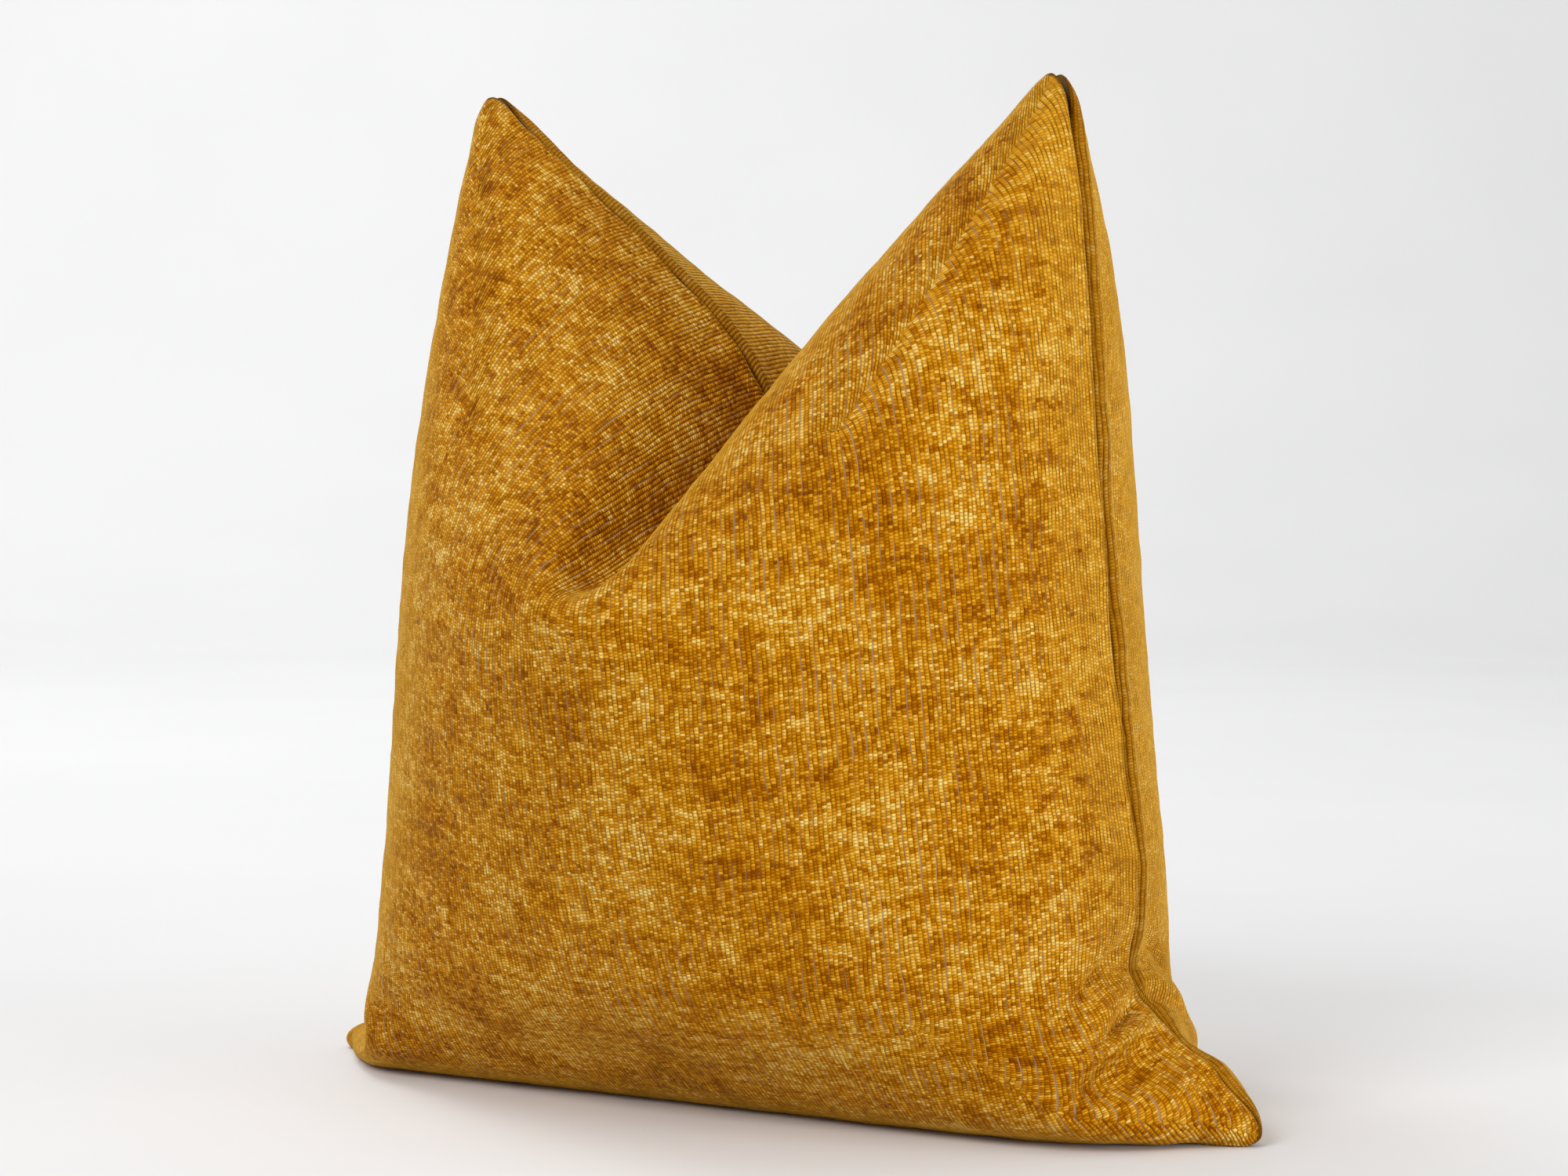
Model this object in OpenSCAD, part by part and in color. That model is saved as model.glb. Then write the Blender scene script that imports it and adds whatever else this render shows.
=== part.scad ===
// Square throw pillow standing on its lower edge, with the top pressed in.
// Removable two-panel cover with a zip in the bottom seam, and a filled insert.
// Units: millimetres. +Z up, front face towards -Y, origin on the floor under the middle.

/* [Cover] */
// Edge length of the square cover before it is filled
cover_w = 508; // [500:1:516]
// Thickness of the pile fabric
cloth_t = 1.5; // [1.2:0.1:1.8]
// Depth of the turned-in seam allowance
allowance = 10; // [8:0.5:12]
// Gap between the two panels along a seam
seam_gap = 0.5; // [0.4:0.1:0.8]

/* [Filled shape] */
// Height of the two ear tips above the floor
ear_z = 482; // [470:1:490]
// Distance of each ear tip from the middle
ear_x = 157; // [145:1:165]
// Distance of the side seams from the middle just above the floor
waist_x = 216; // [205:1:225]
// Front: how far the fullest point stands forward
front_y = 152; // [145:1:158]
// Front: height of the fullest point
front_z = 240; // [225:1:250]
// Back: how far the fullest point stands back
back_y = 150; // [145:1:158]
// Back: height of the fullest point
back_z = 288; // [275:1:295]
// Half depth of the flat underside
base_y = 64; // [56:1:70]

/* [Pressed-in top] */
// Height of the lowest point of the top seam
vee_z = 284; // [275:1:300]
// How far the top seam is pushed back at its lowest point
vee_y = 12; // [0:1:16]

/* [Zip] */
// Length of the coil between its stops
zip_l = 400; // [380:5:410]
// Height of the folded cover edges beside the coil
zip_z = 9; // [8.5:0.5:10]
// Half distance between the folded cover edges
zip_half = 5.6; // [5.5:0.1:6]
// Pitch of the coil's turns
coil_pitch = 2.5; // [2:0.5:4]
// Length of the pull
pull_l = 20; // [16:1:24]

/* [Insert] */
// Space between the cover and the insert
ease = 3.2; // [2.6:0.2:4]
// Thickness of the insert's ticking
tick_t = 0.6; // [0.5:0.1:0.8]

/* [Hidden] */
nu = 32;
ni = 22;
corner_x = cover_w / 2;
tip_z = 4;
v_base = 0.125;
v_front = 0.63;
v_back = 0.70;
gold = [0.71, 0.47, 0.11];
gold_thread = [0.62, 0.40, 0.10];
ticking = [0.93, 0.92, 0.89];
fibre = [0.97, 0.97, 0.96];
tape_col = [0.60, 0.41, 0.13];
coil_col = [0.52, 0.35, 0.12];
metal = [0.55, 0.47, 0.32];

// rows of the cover grid: closer together beside the zip
rows_v = concat([0, 0.012, 0.028, 0.045], [for (j = [3 : nu]) j / nu]);
nv = len(rows_v) - 1;

// ---- helper functions ----
function ss(a, b, x) = let (t = max(0, min(1, (x - a) / (b - a)))) t * t * (3 - 2 * t);
function mix(a, b, t) = a + (b - a) * t;
function softabs(u, e) = (sqrt(u * u + e * e) - e) / (sqrt(1 + e * e) - e);
function unit(a) = let (n = norm(a)) n < 1e-9 ? [0, 0, 0] : a / n;

// ---- the filled cover as a surface: s = -1 front, 1 back; u across, v up the panel ----
function seam_x(v) = ear_x + (waist_x - ear_x) * pow(1 - v, 0.9)
    + (corner_x - waist_x) * exp(-pow(v / 0.05, 2)) - 8 * exp(-pow((v - 0.12) / 0.05, 2));
function seam_z(v) = tip_z + (ear_z - tip_z) * pow(v, 1.15);
function crease_v(s) = s < 0 ? v_front : v_back;
function crease_y(s) = s < 0 ? front_y : back_y;
function crease_z(s) = s < 0 ? front_z : back_z;
// depth of the middle line, measured away from the seam plane
function mid_y(s, v) =
    v < v_base ? base_y * v / v_base
    : v < crease_v(s) ? mix(base_y, crease_y(s), pow((v - v_base) / (crease_v(s) - v_base), 0.75))
    : crease_y(s) * (1 - pow((v - crease_v(s)) / (1 - crease_v(s)), 1.15));
// both panels lean back together towards the pressed-in part of the top seam
function lean(u, v) = v < v_back ? 0 : vee_y * pow((v - v_back) / (1 - v_back), 1.15) * pow(1 - min(1, u * u), 1.5);
function mid_z(s, v) =
    v < v_base ? 0
    : v < crease_v(s) ? crease_z(s) * (v - v_base) / (crease_v(s) - v_base)
    : mix(crease_z(s), vee_z, (v - crease_v(s)) / (1 - crease_v(s)));
function width_c(v) = v < 0.3 ? mix(1, 1.3, ss(0, 0.25, v)) : mix(1.3, 0.92, ss(0.6, 1, v));
function power_y(v) = v < 0.5 ? mix(10, 2, ss(0, 0.35, v)) : mix(2, 6, ss(0.55, 0.95, v));
function rise(u, v) = let (a = abs(u))
    v < 0.5 ? pow(a, mix(6, 1.3, ss(0, 0.35, v)))
    : mix(pow(a, 1.3), mix(sin(90 * softabs(u, 0.12)), softabs(u, 0.08), ss(0.85, 1, v)), ss(0.55, 0.75, v));
function at_zip(u) = 1 - ss(0.86, 0.94, abs(u));
function surf(s, u, v) = let (a = abs(u), c = width_c(v))
    [seam_x(v) * (c * u + (1 - c) * u * a * a),
     s * (mid_y(s, v) * (1 - pow(a, power_y(v))) + seam_gap / 2
          + (zip_half - seam_gap / 2) * (1 - ss(0, 0.03, v)) * at_zip(u)) + lean(u, v),
     mix(mid_z(s, v), seam_z(v), rise(u, v)) + zip_z * (1 - ss(0, 0.045, v)) * at_zip(u)];
// outward normal by differences
function surf_n(s, u, v) = let (e = 0.004,
    du = surf(s, min(1, u + e), v) - surf(s, max(-1, u - e), v),
    dv = surf(s, u, min(1, v + e)) - surf(s, u, max(0, v - e)))
    unit(cross(du, dv)) * -s;

// ---- a sheet of cloth from a grid of points, with thickness ----
// g: points [i][j]; use(i, j) says whether a cell belongs to the sheet
function cell_n(g, i, j, s) = unit(cross(g[i + 1][j + 1] - g[i][j], g[i][j + 1] - g[i + 1][j])) * -s;
function in_sheet(i, j, a, b) = i >= 1 && i <= a && j >= 0 && j < b - 1 ? true
    : (i == 0 || i == a + 1) ? (j >= 5 && j < b - 2)
    : (j == b - 1) ? (i >= 4 && i <= a - 3) : false;

// y_in[i][j]: how far the inside may reach towards the other panel
module sheet(g, y_in, s, t, a, b) {
    ni_ = a + 2;            // cells across, with a strip on each side
    nj_ = b;                // cells up, with a strip at the top
    on = [for (i = [0 : ni_ - 1]) [for (j = [0 : nj_ - 1]) in_sheet(i, j, a, b)]];
    cn = [for (i = [0 : ni_ - 1]) [for (j = [0 : nj_ - 1]) cell_n(g, i, j, s)]];
    inner = [for (i = [0 : ni_]) for (j = [0 : nj_])
        let (near = [for (p = [i - 1, i]) for (q = [j - 1, j])
                 if (p >= 0 && q >= 0 && p < ni_ && q < nj_ && on[p][q]) cn[p][q]],
             n = len(near) == 0 ? [0, 0, 0] : unit(sum_v(near)),
             k = len(near) == 0 ? 0 : 1 / max(0.4, min([for (m = near) m * n])),
             q = g[i][j] - n * t * k,
             rim = i <= 1 || i >= ni_ - 1 || (j >= nj_ - 1))
        // near the seams the inside never crosses the middle surface
        [q[0] - (rim ? sign(q[0]) * 0.4 : 0), s < 0 ? min(q[1], y_in[i][j]) : max(q[1], y_in[i][j]), q[2]]];
    outer = [for (i = [0 : ni_]) for (j = [0 : nj_]) g[i][j]];
    m = len(outer);
    w = nj_ + 1;
    cells = [for (i = [0 : ni_ - 1]) for (j = [0 : nj_ - 1]) if (on[i][j]) [i, j]];
    tops = [for (c = cells) let (p = c[0] * w + c[1])
        each [[p, p + w + 1, p + w], [p, p + 1, p + w + 1]]];
    bots = [for (f = tops) [f[0] + m, f[2] + m, f[1] + m]];
    rims = [for (c = cells) let (i = c[0], j = c[1], p = i * w + j)
        each concat(
            (i == 0 || !on[i - 1][j]) ? [[p + 1, p, p + m], [p + 1, p + m, p + 1 + m]] : [],
            (i == ni_ - 1 || !on[i + 1][j]) ? [[p + w, p + w + 1, p + w + m], [p + w + 1, p + w + 1 + m, p + w + m]] : [],
            (j == 0 || !on[i][j - 1]) ? [[p, p + w, p + m], [p + w, p + w + m, p + m]] : [],
            (j == nj_ - 1 || !on[i][j + 1]) ? [[p + w + 1, p + 1, p + 1 + m], [p + w + 1, p + 1 + m, p + w + 1 + m]] : [])];
    faces = concat(tops, bots, rims);
    polyhedron(points = concat(outer, inner), faces = s > 0 ? [for (f = faces) [f[2], f[1], f[0]]] : faces, convexity = 12);
}
function sum_v(a, i = 0) = i >= len(a) ? [0, 0, 0] : a[i] + sum_v(a, i + 1);

// cover panel grid with the turned-in strips
function pull_in(s, u, v, edge) = let (p = surf(s, u, v))
    edge == "top" ? p + allowance * unit([sign(u) * min(1, abs(u) * 4), 0, -1])
    : p + allowance * unit([-sign(u), 0, -0.15]);
function cover_grid(s) = [for (i = [0 : nu + 2]) let (u = max(-1, min(1, 2 * (i - 1) / nu - 1)))
    [for (j = [0 : nv + 1]) let (v = rows_v[min(j, nv)])
        (i == 0 || i == nu + 2) ? pull_in(s, u, min(v, 1), "side")
        : j == nv + 1 ? pull_in(s, u, 1, "top")
        : surf(s, u, v)]];

// middle surface between the two panels, on this panel's side of the seam gap
function between(s) = [for (i = [0 : nu + 2]) let (u = max(-1, min(1, 2 * (i - 1) / nu - 1)))
    [for (j = [0 : nv + 1]) let (v = rows_v[min(j, nv)])
        (i == 0 || i == nu + 2 || j == nv + 1) ? surf(s, u, v)[1]
        : (surf(-1, u, v)[1] + surf(1, u, v)[1]) / 2 + s * seam_gap / 2]];
module cover_panel(s) { sheet(cover_grid(s), between(s), s, cloth_t, nu, nv + 1); }
module cover_front() { color(gold) cover_panel(-1); }
module cover_back() { color(gold) cover_panel(1); }

// ---- insert: a smaller closed form inside the cover ----
function ins_u(u, in) = u * (0.87 - in / 200);
function ins_v(v, in) = mix(0.035 + in / 500, 0.925 - in / 500, v);
function ins_raw(s, u, v, d, in) = let (p = surf(s, ins_u(u, in), ins_v(v, in)),
    q = p - surf_n(s, ins_u(u, in), ins_v(v, in)) * d)
    [q[0], q[1], max(d, q[2])];
function ins_pt(s, u, v, d, in, gap) = let (
    f = ins_raw(-1, u, v, d, in), b = ins_raw(1, u, v, d, in), m = (f + b) / 2,
    e = max(abs(u), abs(2 * v - 1)), c = e > 0.999 ? 0 : pow(1 - pow(e, 10), 0.5),
    h = (b - f) / 2, k = ss(0, 3, h[1]),
    // the top edge drops clear of the cover's turned-in edge
    q = m + s * c * [h[0] * k, max(h[1], 1.2), h[2] * k] - [0, 0, 10 * ss(0.75, 1, v) * (1 - ss(0.15, 0.6, abs(u)))])
    [q[0], q[1] + s * gap, q[2] + 15 * exp(-pow(q[1] / 19, 2)) * (1 - ss(20, 60, q[2]))];

function grid_i(s, d, in, gap) = [for (i = [0 : ni]) for (j = [0 : ni])
    ins_pt(s, 2 * i / ni - 1, j / ni, d, in, gap)];
// shell between two grids
module insert_shell(s) {
    o = grid_i(s, cloth_t + ease, 0, 0.25);
    n = grid_i(s, cloth_t + ease + tick_t, 3, 0.25);
    w = ni + 1;
    m = w * w;
    tops = [for (i = [0 : ni - 1]) for (j = [0 : ni - 1]) let (p = i * w + j,
            turn = (i == 0 && j == ni - 1) || (i == ni - 1 && j == 0))
        each turn ? [[p, p + 1, p + w], [p + w, p + 1, p + w + 1]] : [[p, p + w + 1, p + w], [p, p + 1, p + w + 1]]];
    bots = [for (f = tops) [f[0] + m, f[2] + m, f[1] + m]];
    rims = [for (k = [0 : ni - 1]) each [
        [k + 1, k, k + m], [k + 1, k + m, k + 1 + m],
        [ni * w + k, ni * w + k + 1, ni * w + k + m], [ni * w + k + 1, ni * w + k + 1 + m, ni * w + k + m],
        [k * w, (k + 1) * w, k * w + m], [(k + 1) * w, (k + 1) * w + m, k * w + m],
        [(k + 1) * w + ni, k * w + ni, k * w + ni + m], [(k + 1) * w + ni, k * w + ni + m, (k + 1) * w + ni + m]]];
    faces = concat(tops, bots, rims);
    polyhedron(points = concat(o, n), faces = s > 0 ? [for (f = faces) [f[2], f[1], f[0]]] : faces, convexity = 12);
}
module insert_front() { color(ticking) insert_shell(-1); }
module insert_back() { color(ticking) insert_shell(1); }

// loose fibre fill as one closed body
module fill() {
    d = cloth_t + ease + tick_t + 1.0;
    w = ni + 1;
    m = w * w;
    f = grid_i(-1, d, 3, 0);
    b = grid_i(1, d, 3, 0);
    function edge(i, j) = i == 0 || j == 0 || i == ni || j == ni;
    function id(side, i, j) = (side == 0 || edge(i, j)) ? i * w + j : m + i * w + j;
    faces = [for (side = [0, 1]) for (i = [0 : ni - 1]) for (j = [0 : ni - 1])
        let (a = id(side, i, j), c = id(side, i + 1, j), e = id(side, i + 1, j + 1), h = id(side, i, j + 1),
             turn = (i == 0 && j == ni - 1) || (i == ni - 1 && j == 0),
             t = turn ? [[a, h, c], [c, h, e]] : [[a, e, c], [a, h, e]])
        each side == 0 ? t : [for (x = t) [x[2], x[1], x[0]]]];
    color(fibre) polyhedron(points = concat(f, b), faces = faces, convexity = 12);
}

// ---- threads ----
// a thin band along three seams, between the two turned-in edges
function side_path(s, n, in) = [for (k = [0 : n]) let (v = mix(0.16, 0.9, (s > 0 ? k : n - k) / n), p = surf(1, s, v)) [p[0] - s * in, 0, p[2]]];
function top_path(n, in) = [for (k = [0 : n]) let (u = mix(0.76, -0.76, k / n), p = surf(1, u, 1))
        [p[0] + sign(u) * in * 0.6 * min(1, abs(u) * 4), p[1] - seam_gap / 2, p[2] - in * mix(1, 0.8, abs(u))]];
module band(pa, pb, h) {
    n = len(pa);
    pts = [for (k = [0 : n - 1]) each [pa[k] + [0, -h, 0], pb[k] + [0, -h, 0], pb[k] + [0, h, 0], pa[k] + [0, h, 0]]];
    faces = concat(
        [for (k = [0 : n - 2]) for (e = [0 : 3]) let (a = 4 * k + e, b = 4 * k + (e + 1) % 4)
            each [[a, b, b + 4], [a, b + 4, a + 4]]],
        [[0, 2, 1], [0, 3, 2], [4 * n - 4, 4 * n - 3, 4 * n - 2], [4 * n - 4, 4 * n - 2, 4 * n - 1]]);
    polyhedron(points = pts, faces = faces, convexity = 8);
}
module cover_seam_thread() {
    color(gold_thread) {
        for (s = [-1, 1]) band(side_path(s, 14, 2.4), side_path(s, 14, 3.2), 0.1);
        band(top_path(28, 2.4), top_path(28, 3.2), 0.1);
    }
}
module insert_seam_thread() {
    p = [for (k = [0 : 3 * ni]) let (i = k < ni ? 0 : k < 2 * ni ? k - ni : ni, j = k < ni ? k : k < 2 * ni ? ni : 3 * ni - k)
        ins_pt(1, 2 * i / ni - 1, j / ni, cloth_t + ease, 0.0, 0)];
    q = [for (k = [0 : 3 * ni]) let (i = k < ni ? 0 : k < 2 * ni ? k - ni : ni, j = k < ni ? k : k < 2 * ni ? ni : 3 * ni - k)
        ins_pt(1, 2 * i / ni - 1, j / ni, cloth_t + ease, 1.0, 0)];
    color(ticking) band(q, p, 0.08);
}
// overlocked raw edges of the turned-in strips
module edge_overlock() {
    color(gold_thread) for (s = [-1, 1]) for (e = [-1, 1]) {
        pa = [for (k = [6 : nv - 2]) let (p = pull_in(s, e, rows_v[k], "side")) p + [-e * 0.4, s * cloth_t / 2, 0]];
        pb = [for (k = [6 : nv - 2]) let (p = pull_in(s, e, rows_v[k], "side")) p + [-e * 1.2, s * cloth_t / 2, 0]];
        if (e > 0) band(pa, pb, 0.5); else band(pb, pa, 0.5);
    }
}

// ---- zip in the bottom seam ----
coil_lo = zip_z + 0.2;
coil_hi = zip_z + 2.8;
tape_lo = coil_hi + 0.05;
tape_hi = tape_lo + 0.6;
slider_x0 = zip_l / 2 - 9.5;
plate_lo = coil_lo - 1.35;
lug_z = plate_lo - 1.5;

module tape(s) {
    color(tape_col) translate([-zip_l / 2 - 4.5, s > 0 ? 2.4 : -15, tape_lo]) cube([zip_l + 9, 12.6, tape_hi - tape_lo]);
}
module zip_tape_front() { tape(-1); }
module zip_tape_back() { tape(1); }

// turns of the coil as a ribbed bar
module coil(s) {
    n = floor(zip_l / coil_pitch);
    pts = concat([[-zip_l / 2, 3.9]],
        [for (k = [0 : n - 1]) each [[-zip_l / 2 + k * coil_pitch, 1.0], [-zip_l / 2 + (k + 0.3) * coil_pitch, 0.7],
                                     [-zip_l / 2 + (k + 0.7) * coil_pitch, 0.7], [-zip_l / 2 + (k + 0.98) * coil_pitch, 1.0]]],
        [[-zip_l / 2 + n * coil_pitch, 3.9]]);
    color(coil_col) translate([0, 0, coil_lo]) linear_extrude(coil_hi - coil_lo)
        polygon([for (p = pts) [p[0], s * p[1]]]);
}
module zip_coil_front() { coil(-1); }
module zip_coil_back() { coil(1); }

// stops clamped over the coil's ends
module zip_stop_start() {
    color(metal) translate([-zip_l / 2 - 3.3, -3.6, coil_lo]) cube([3, 7.2, coil_hi - coil_lo]);
}
module zip_stop_end() {
    color(metal) for (s = [-1, 1]) translate([zip_l / 2 + 0.3, s > 0 ? 0.8 : -3.8, coil_lo]) cube([2.6, 3, coil_hi - coil_lo]);
}
// two sewing lines that hold the tapes to the folded edges
module zip_stitching() {
    color(gold_thread) for (s = [-1, 1]) for (k = [0 : 49])
        translate([-zip_l / 2 + 4 + k * 8 - 2.6, s * 8 - 0.25, tape_hi + 0.02]) cube([5.2, 0.5, 0.4]);
}
// slider: two plates joined by a divider, half-closed sides, and a lug for the pull
module zip_slider() {
    l = 9;
    color(metal) translate([slider_x0, 0, 0]) {
        translate([0, -5.05, plate_lo]) cube([l, 10.1, 1]);
        translate([0, -4.4, tape_hi + 0.35]) cube([l, 8.8, 1]);
        translate([l - 3, -0.4, plate_lo + 0.5]) cube([2.5, 0.8, tape_hi + 0.35 - plate_lo]);
        for (s = [-1, 1]) translate([0, s > 0 ? 4.25 : -5.05, plate_lo + 0.5]) cube([l, 0.8, tape_lo - 0.4 - plate_lo - 0.5]);
        difference() {
            translate([2.2, -1, lug_z - 1.1]) cube([4.6, 2, plate_lo - lug_z + 1.3]);
            translate([4.5, 0, lug_z]) rotate([90, 0, 0]) cylinder(r = 0.72, h = 6, center = true, $fn = 48);
        }
    }
}
// pull: a bar through the lug and a rounded leaf
module zip_pull() {
    color(metal) translate([slider_x0 + 4.5, 0, lug_z]) {
        rotate([90, 0, 0]) cylinder(r = 0.67, h = 5.2, center = true, $fn = 48);
        difference() {
            union() {
                for (s = [-1, 1]) translate([-5.4, s > 0 ? 1.4 : -2.6, -0.6]) cube([5.4, 1.2, 1.2]);
                translate([-5.4, 0, -0.6]) linear_extrude(1.2) hull() {
                    translate([-0.6, -2.6]) square([0.6, 5.2]);
                    translate([5.4 - pull_l + 3.4, 0]) circle(r = 3.4, $fn = 40);
                }
            }
            translate([3.4 - pull_l, 0, -2]) cylinder(r = 1.3, h = 4, $fn = 40);
        }
    }
}

cover_front();
cover_back();
cover_seam_thread();
edge_overlock();
zip_tape_front();
zip_tape_back();
zip_coil_front();
zip_coil_back();
zip_stop_start();
zip_stop_end();
zip_stitching();
zip_slider();
zip_pull();
insert_front();
insert_back();
insert_seam_thread();
fill();
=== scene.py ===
import bpy, math
import numpy as np
from mathutils import Matrix, Vector


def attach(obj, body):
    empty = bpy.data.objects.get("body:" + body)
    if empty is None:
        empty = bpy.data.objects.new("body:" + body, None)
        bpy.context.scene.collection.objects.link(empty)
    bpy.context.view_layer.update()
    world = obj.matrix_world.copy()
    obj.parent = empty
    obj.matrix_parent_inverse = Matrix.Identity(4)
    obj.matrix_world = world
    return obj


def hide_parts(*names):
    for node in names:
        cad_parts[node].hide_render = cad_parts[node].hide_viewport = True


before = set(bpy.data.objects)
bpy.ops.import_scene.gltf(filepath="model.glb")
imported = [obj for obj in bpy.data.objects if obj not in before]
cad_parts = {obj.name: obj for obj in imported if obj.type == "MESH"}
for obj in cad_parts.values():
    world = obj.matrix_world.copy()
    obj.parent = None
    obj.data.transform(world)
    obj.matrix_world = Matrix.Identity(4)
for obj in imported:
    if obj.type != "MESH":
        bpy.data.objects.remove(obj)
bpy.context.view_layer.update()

W = 0.508            # edge length of the square cover


# ======================================================================================
#  1. The cover as cloth: two square panels sewn on four sides, filled, stood on the floor
#     and pressed in from above. P[side, i, j] with side 0 = front (-Y), i along X, j up.
# ======================================================================================
def upsample(P):
    s, n, m, _ = P.shape
    Q = np.zeros((s, 2 * n - 1, 2 * m - 1, 3))
    Q[:, ::2, ::2] = P
    Q[:, 1::2, ::2] = 0.5 * (P[:, 1:] + P[:, :-1])
    Q[:, :, 1::2] = 0.5 * (Q[:, :, 2::2] + Q[:, :, :-2:2])
    return Q


def hold(A, B, rest, k, kc):
    d = B - A
    L = np.sqrt((d * d).sum(-1)) + 1e-9
    e = (L - rest) / L
    e = np.where(e < 0, e * kc, e) * k
    c = 0.5 * e[..., None] * d
    A += c
    B -= c


def push(A, B, rest, k):
    d = B - A
    L = np.sqrt((d * d).sum(-1)) + 1e-9
    e = np.minimum((L - rest) / L, 0.0) * k
    c = 0.5 * e[..., None] * d
    A += c
    B -= c


def sew(P):
    for sl in ((slice(None), 0), (slice(None), -1)):
        m = 0.5 * (P[0][sl] + P[1][sl])
        P[0][sl] = m
        P[1][sl] = m
    for k in (0, -1):
        m = 0.5 * (P[0][k] + P[1][k])
        P[0][k] = m
        P[1][k] = m


def area_vectors(P):
    q = P[:, 1:, 1:] - P[:, :-1, :-1]
    r = P[:, :-1, 1:] - P[:, 1:, :-1]
    a = 0.5 * np.cross(q, r)
    a[1] *= -1
    return a


def volume(P, a):
    c = 0.25 * (P[:, 1:, 1:] + P[:, :-1, :-1] + P[:, :-1, 1:] + P[:, 1:, :-1])
    return (c * a).sum() / 3


def to_points(a, shape):
    f = np.zeros(shape)
    f[:, 1:, 1:] += a
    f[:, :-1, :-1] += a
    f[:, :-1, 1:] += a
    f[:, 1:, :-1] += a
    f *= 0.25
    for sl in ((slice(None), 0), (slice(None), -1)):
        t = f[0][sl] + f[1][sl]
        f[0][sl] = t * 0.5
        f[1][sl] = t * 0.5
    return f


def relax(P, h, ks, kc, ksh, kb, kb4):
    for lo in (0, 1):
        A = P[:, lo:-1:2]
        B = P[:, lo + 1::2]
        hold(A, B[:, :A.shape[1]], h, ks, kc)
    for lo in (0, 1):
        A = P[:, :, lo:-1:2]
        B = P[:, :, lo + 1::2]
        hold(A, B[:, :, :A.shape[2]], h, ks, kc)
    sew(P)
    dg = h * math.sqrt(2)
    for lo in (0, 1):
        A = P[:, lo:-1:2, :-1]
        B = P[:, lo + 1::2, 1:]
        hold(A, B[:, :A.shape[1]], dg, ksh, kc)
        A = P[:, lo:-1:2, 1:]
        B = P[:, lo + 1::2, :-1]
        hold(A, B[:, :A.shape[1]], dg, ksh, kc)
    n = P.shape[1]
    for st, k in ((2, kb), (4, kb4)):
        if k <= 0:
            continue
        for o in range(2 * st):
            ia = np.arange(o, n - st, 2 * st)
            if len(ia) == 0:
                continue
            push(P[:, ia[0]:ia[-1] + 1:2 * st], P[:, ia[0] + st:ia[-1] + st + 1:2 * st], st * h, k)
            push(P[:, :, ia[0]:ia[-1] + 1:2 * st], P[:, :, ia[0] + st:ia[-1] + st + 1:2 * st], st * h, k)
    sew(P)


def press(P, A, d, w, al0, r, U, aE, lE, bk):
    """Keeps the cloth out of a rounded wedge. Its ridge passes through A along d, w is its up direction,
    it narrows from al0 to aE away from the seam plane, and its ridge bends down at the back by bk."""
    lat = np.cross(w, d)
    rel = P - A
    b = rel @ w
    a = rel @ lat
    t = -(rel @ d)
    b = b + bk * 0.5 * (t + np.sqrt(t * t + 1e-4)) - bk * 0.005
    for sgn in (-1, 1):
        m = (U == sgn)
        tt = np.clip(np.abs(rel @ d) / lE, 0, 1)
        tt = tt * tt * (3 - 2 * tt)
        al = al0 + (aE - al0) * tt
        ca, sa = np.cos(al), np.sin(al)
        x = a * sgn
        s = x * sa + b * ca
        dd = x * ca - b * sa
        ap = np.sqrt(a * a + b * b) + 1e-12
        sd = np.where(s > 0, dd, ap) - r
        hit = m & (sd < 0) & (b > -r)
        if hit.any():
            g = np.where((s > 0)[..., None],
                         np.multiply.outer(np.ones_like(s), lat) * (sgn * ca)[..., None] - sa[..., None] * w,
                         (a[..., None] * lat + b[..., None] * w) / ap[..., None])
            P[hit] += (-sd[..., None] * g)[hit]


SIM = dict(V=.018, kp=6.0, p0=0.6, gam=1.5, pmin=0.12, ps=2.0e-4, damp=0.9, vmax=0.004, grav=2e-5,
           iters=6, ks=1.0, kc=0.35, ksh=0.35, kb=0.15, kb4=0.05, fric=0.3,
           A=(-0.01, 0, 0.50), d=(-0.05, -1, -0.68), al0=math.radians(42), aE=math.radians(8), lE=0.14,
           r=0.006, bk=0.92, ear=(0.157, 0.482), depth=0.15)


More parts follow.
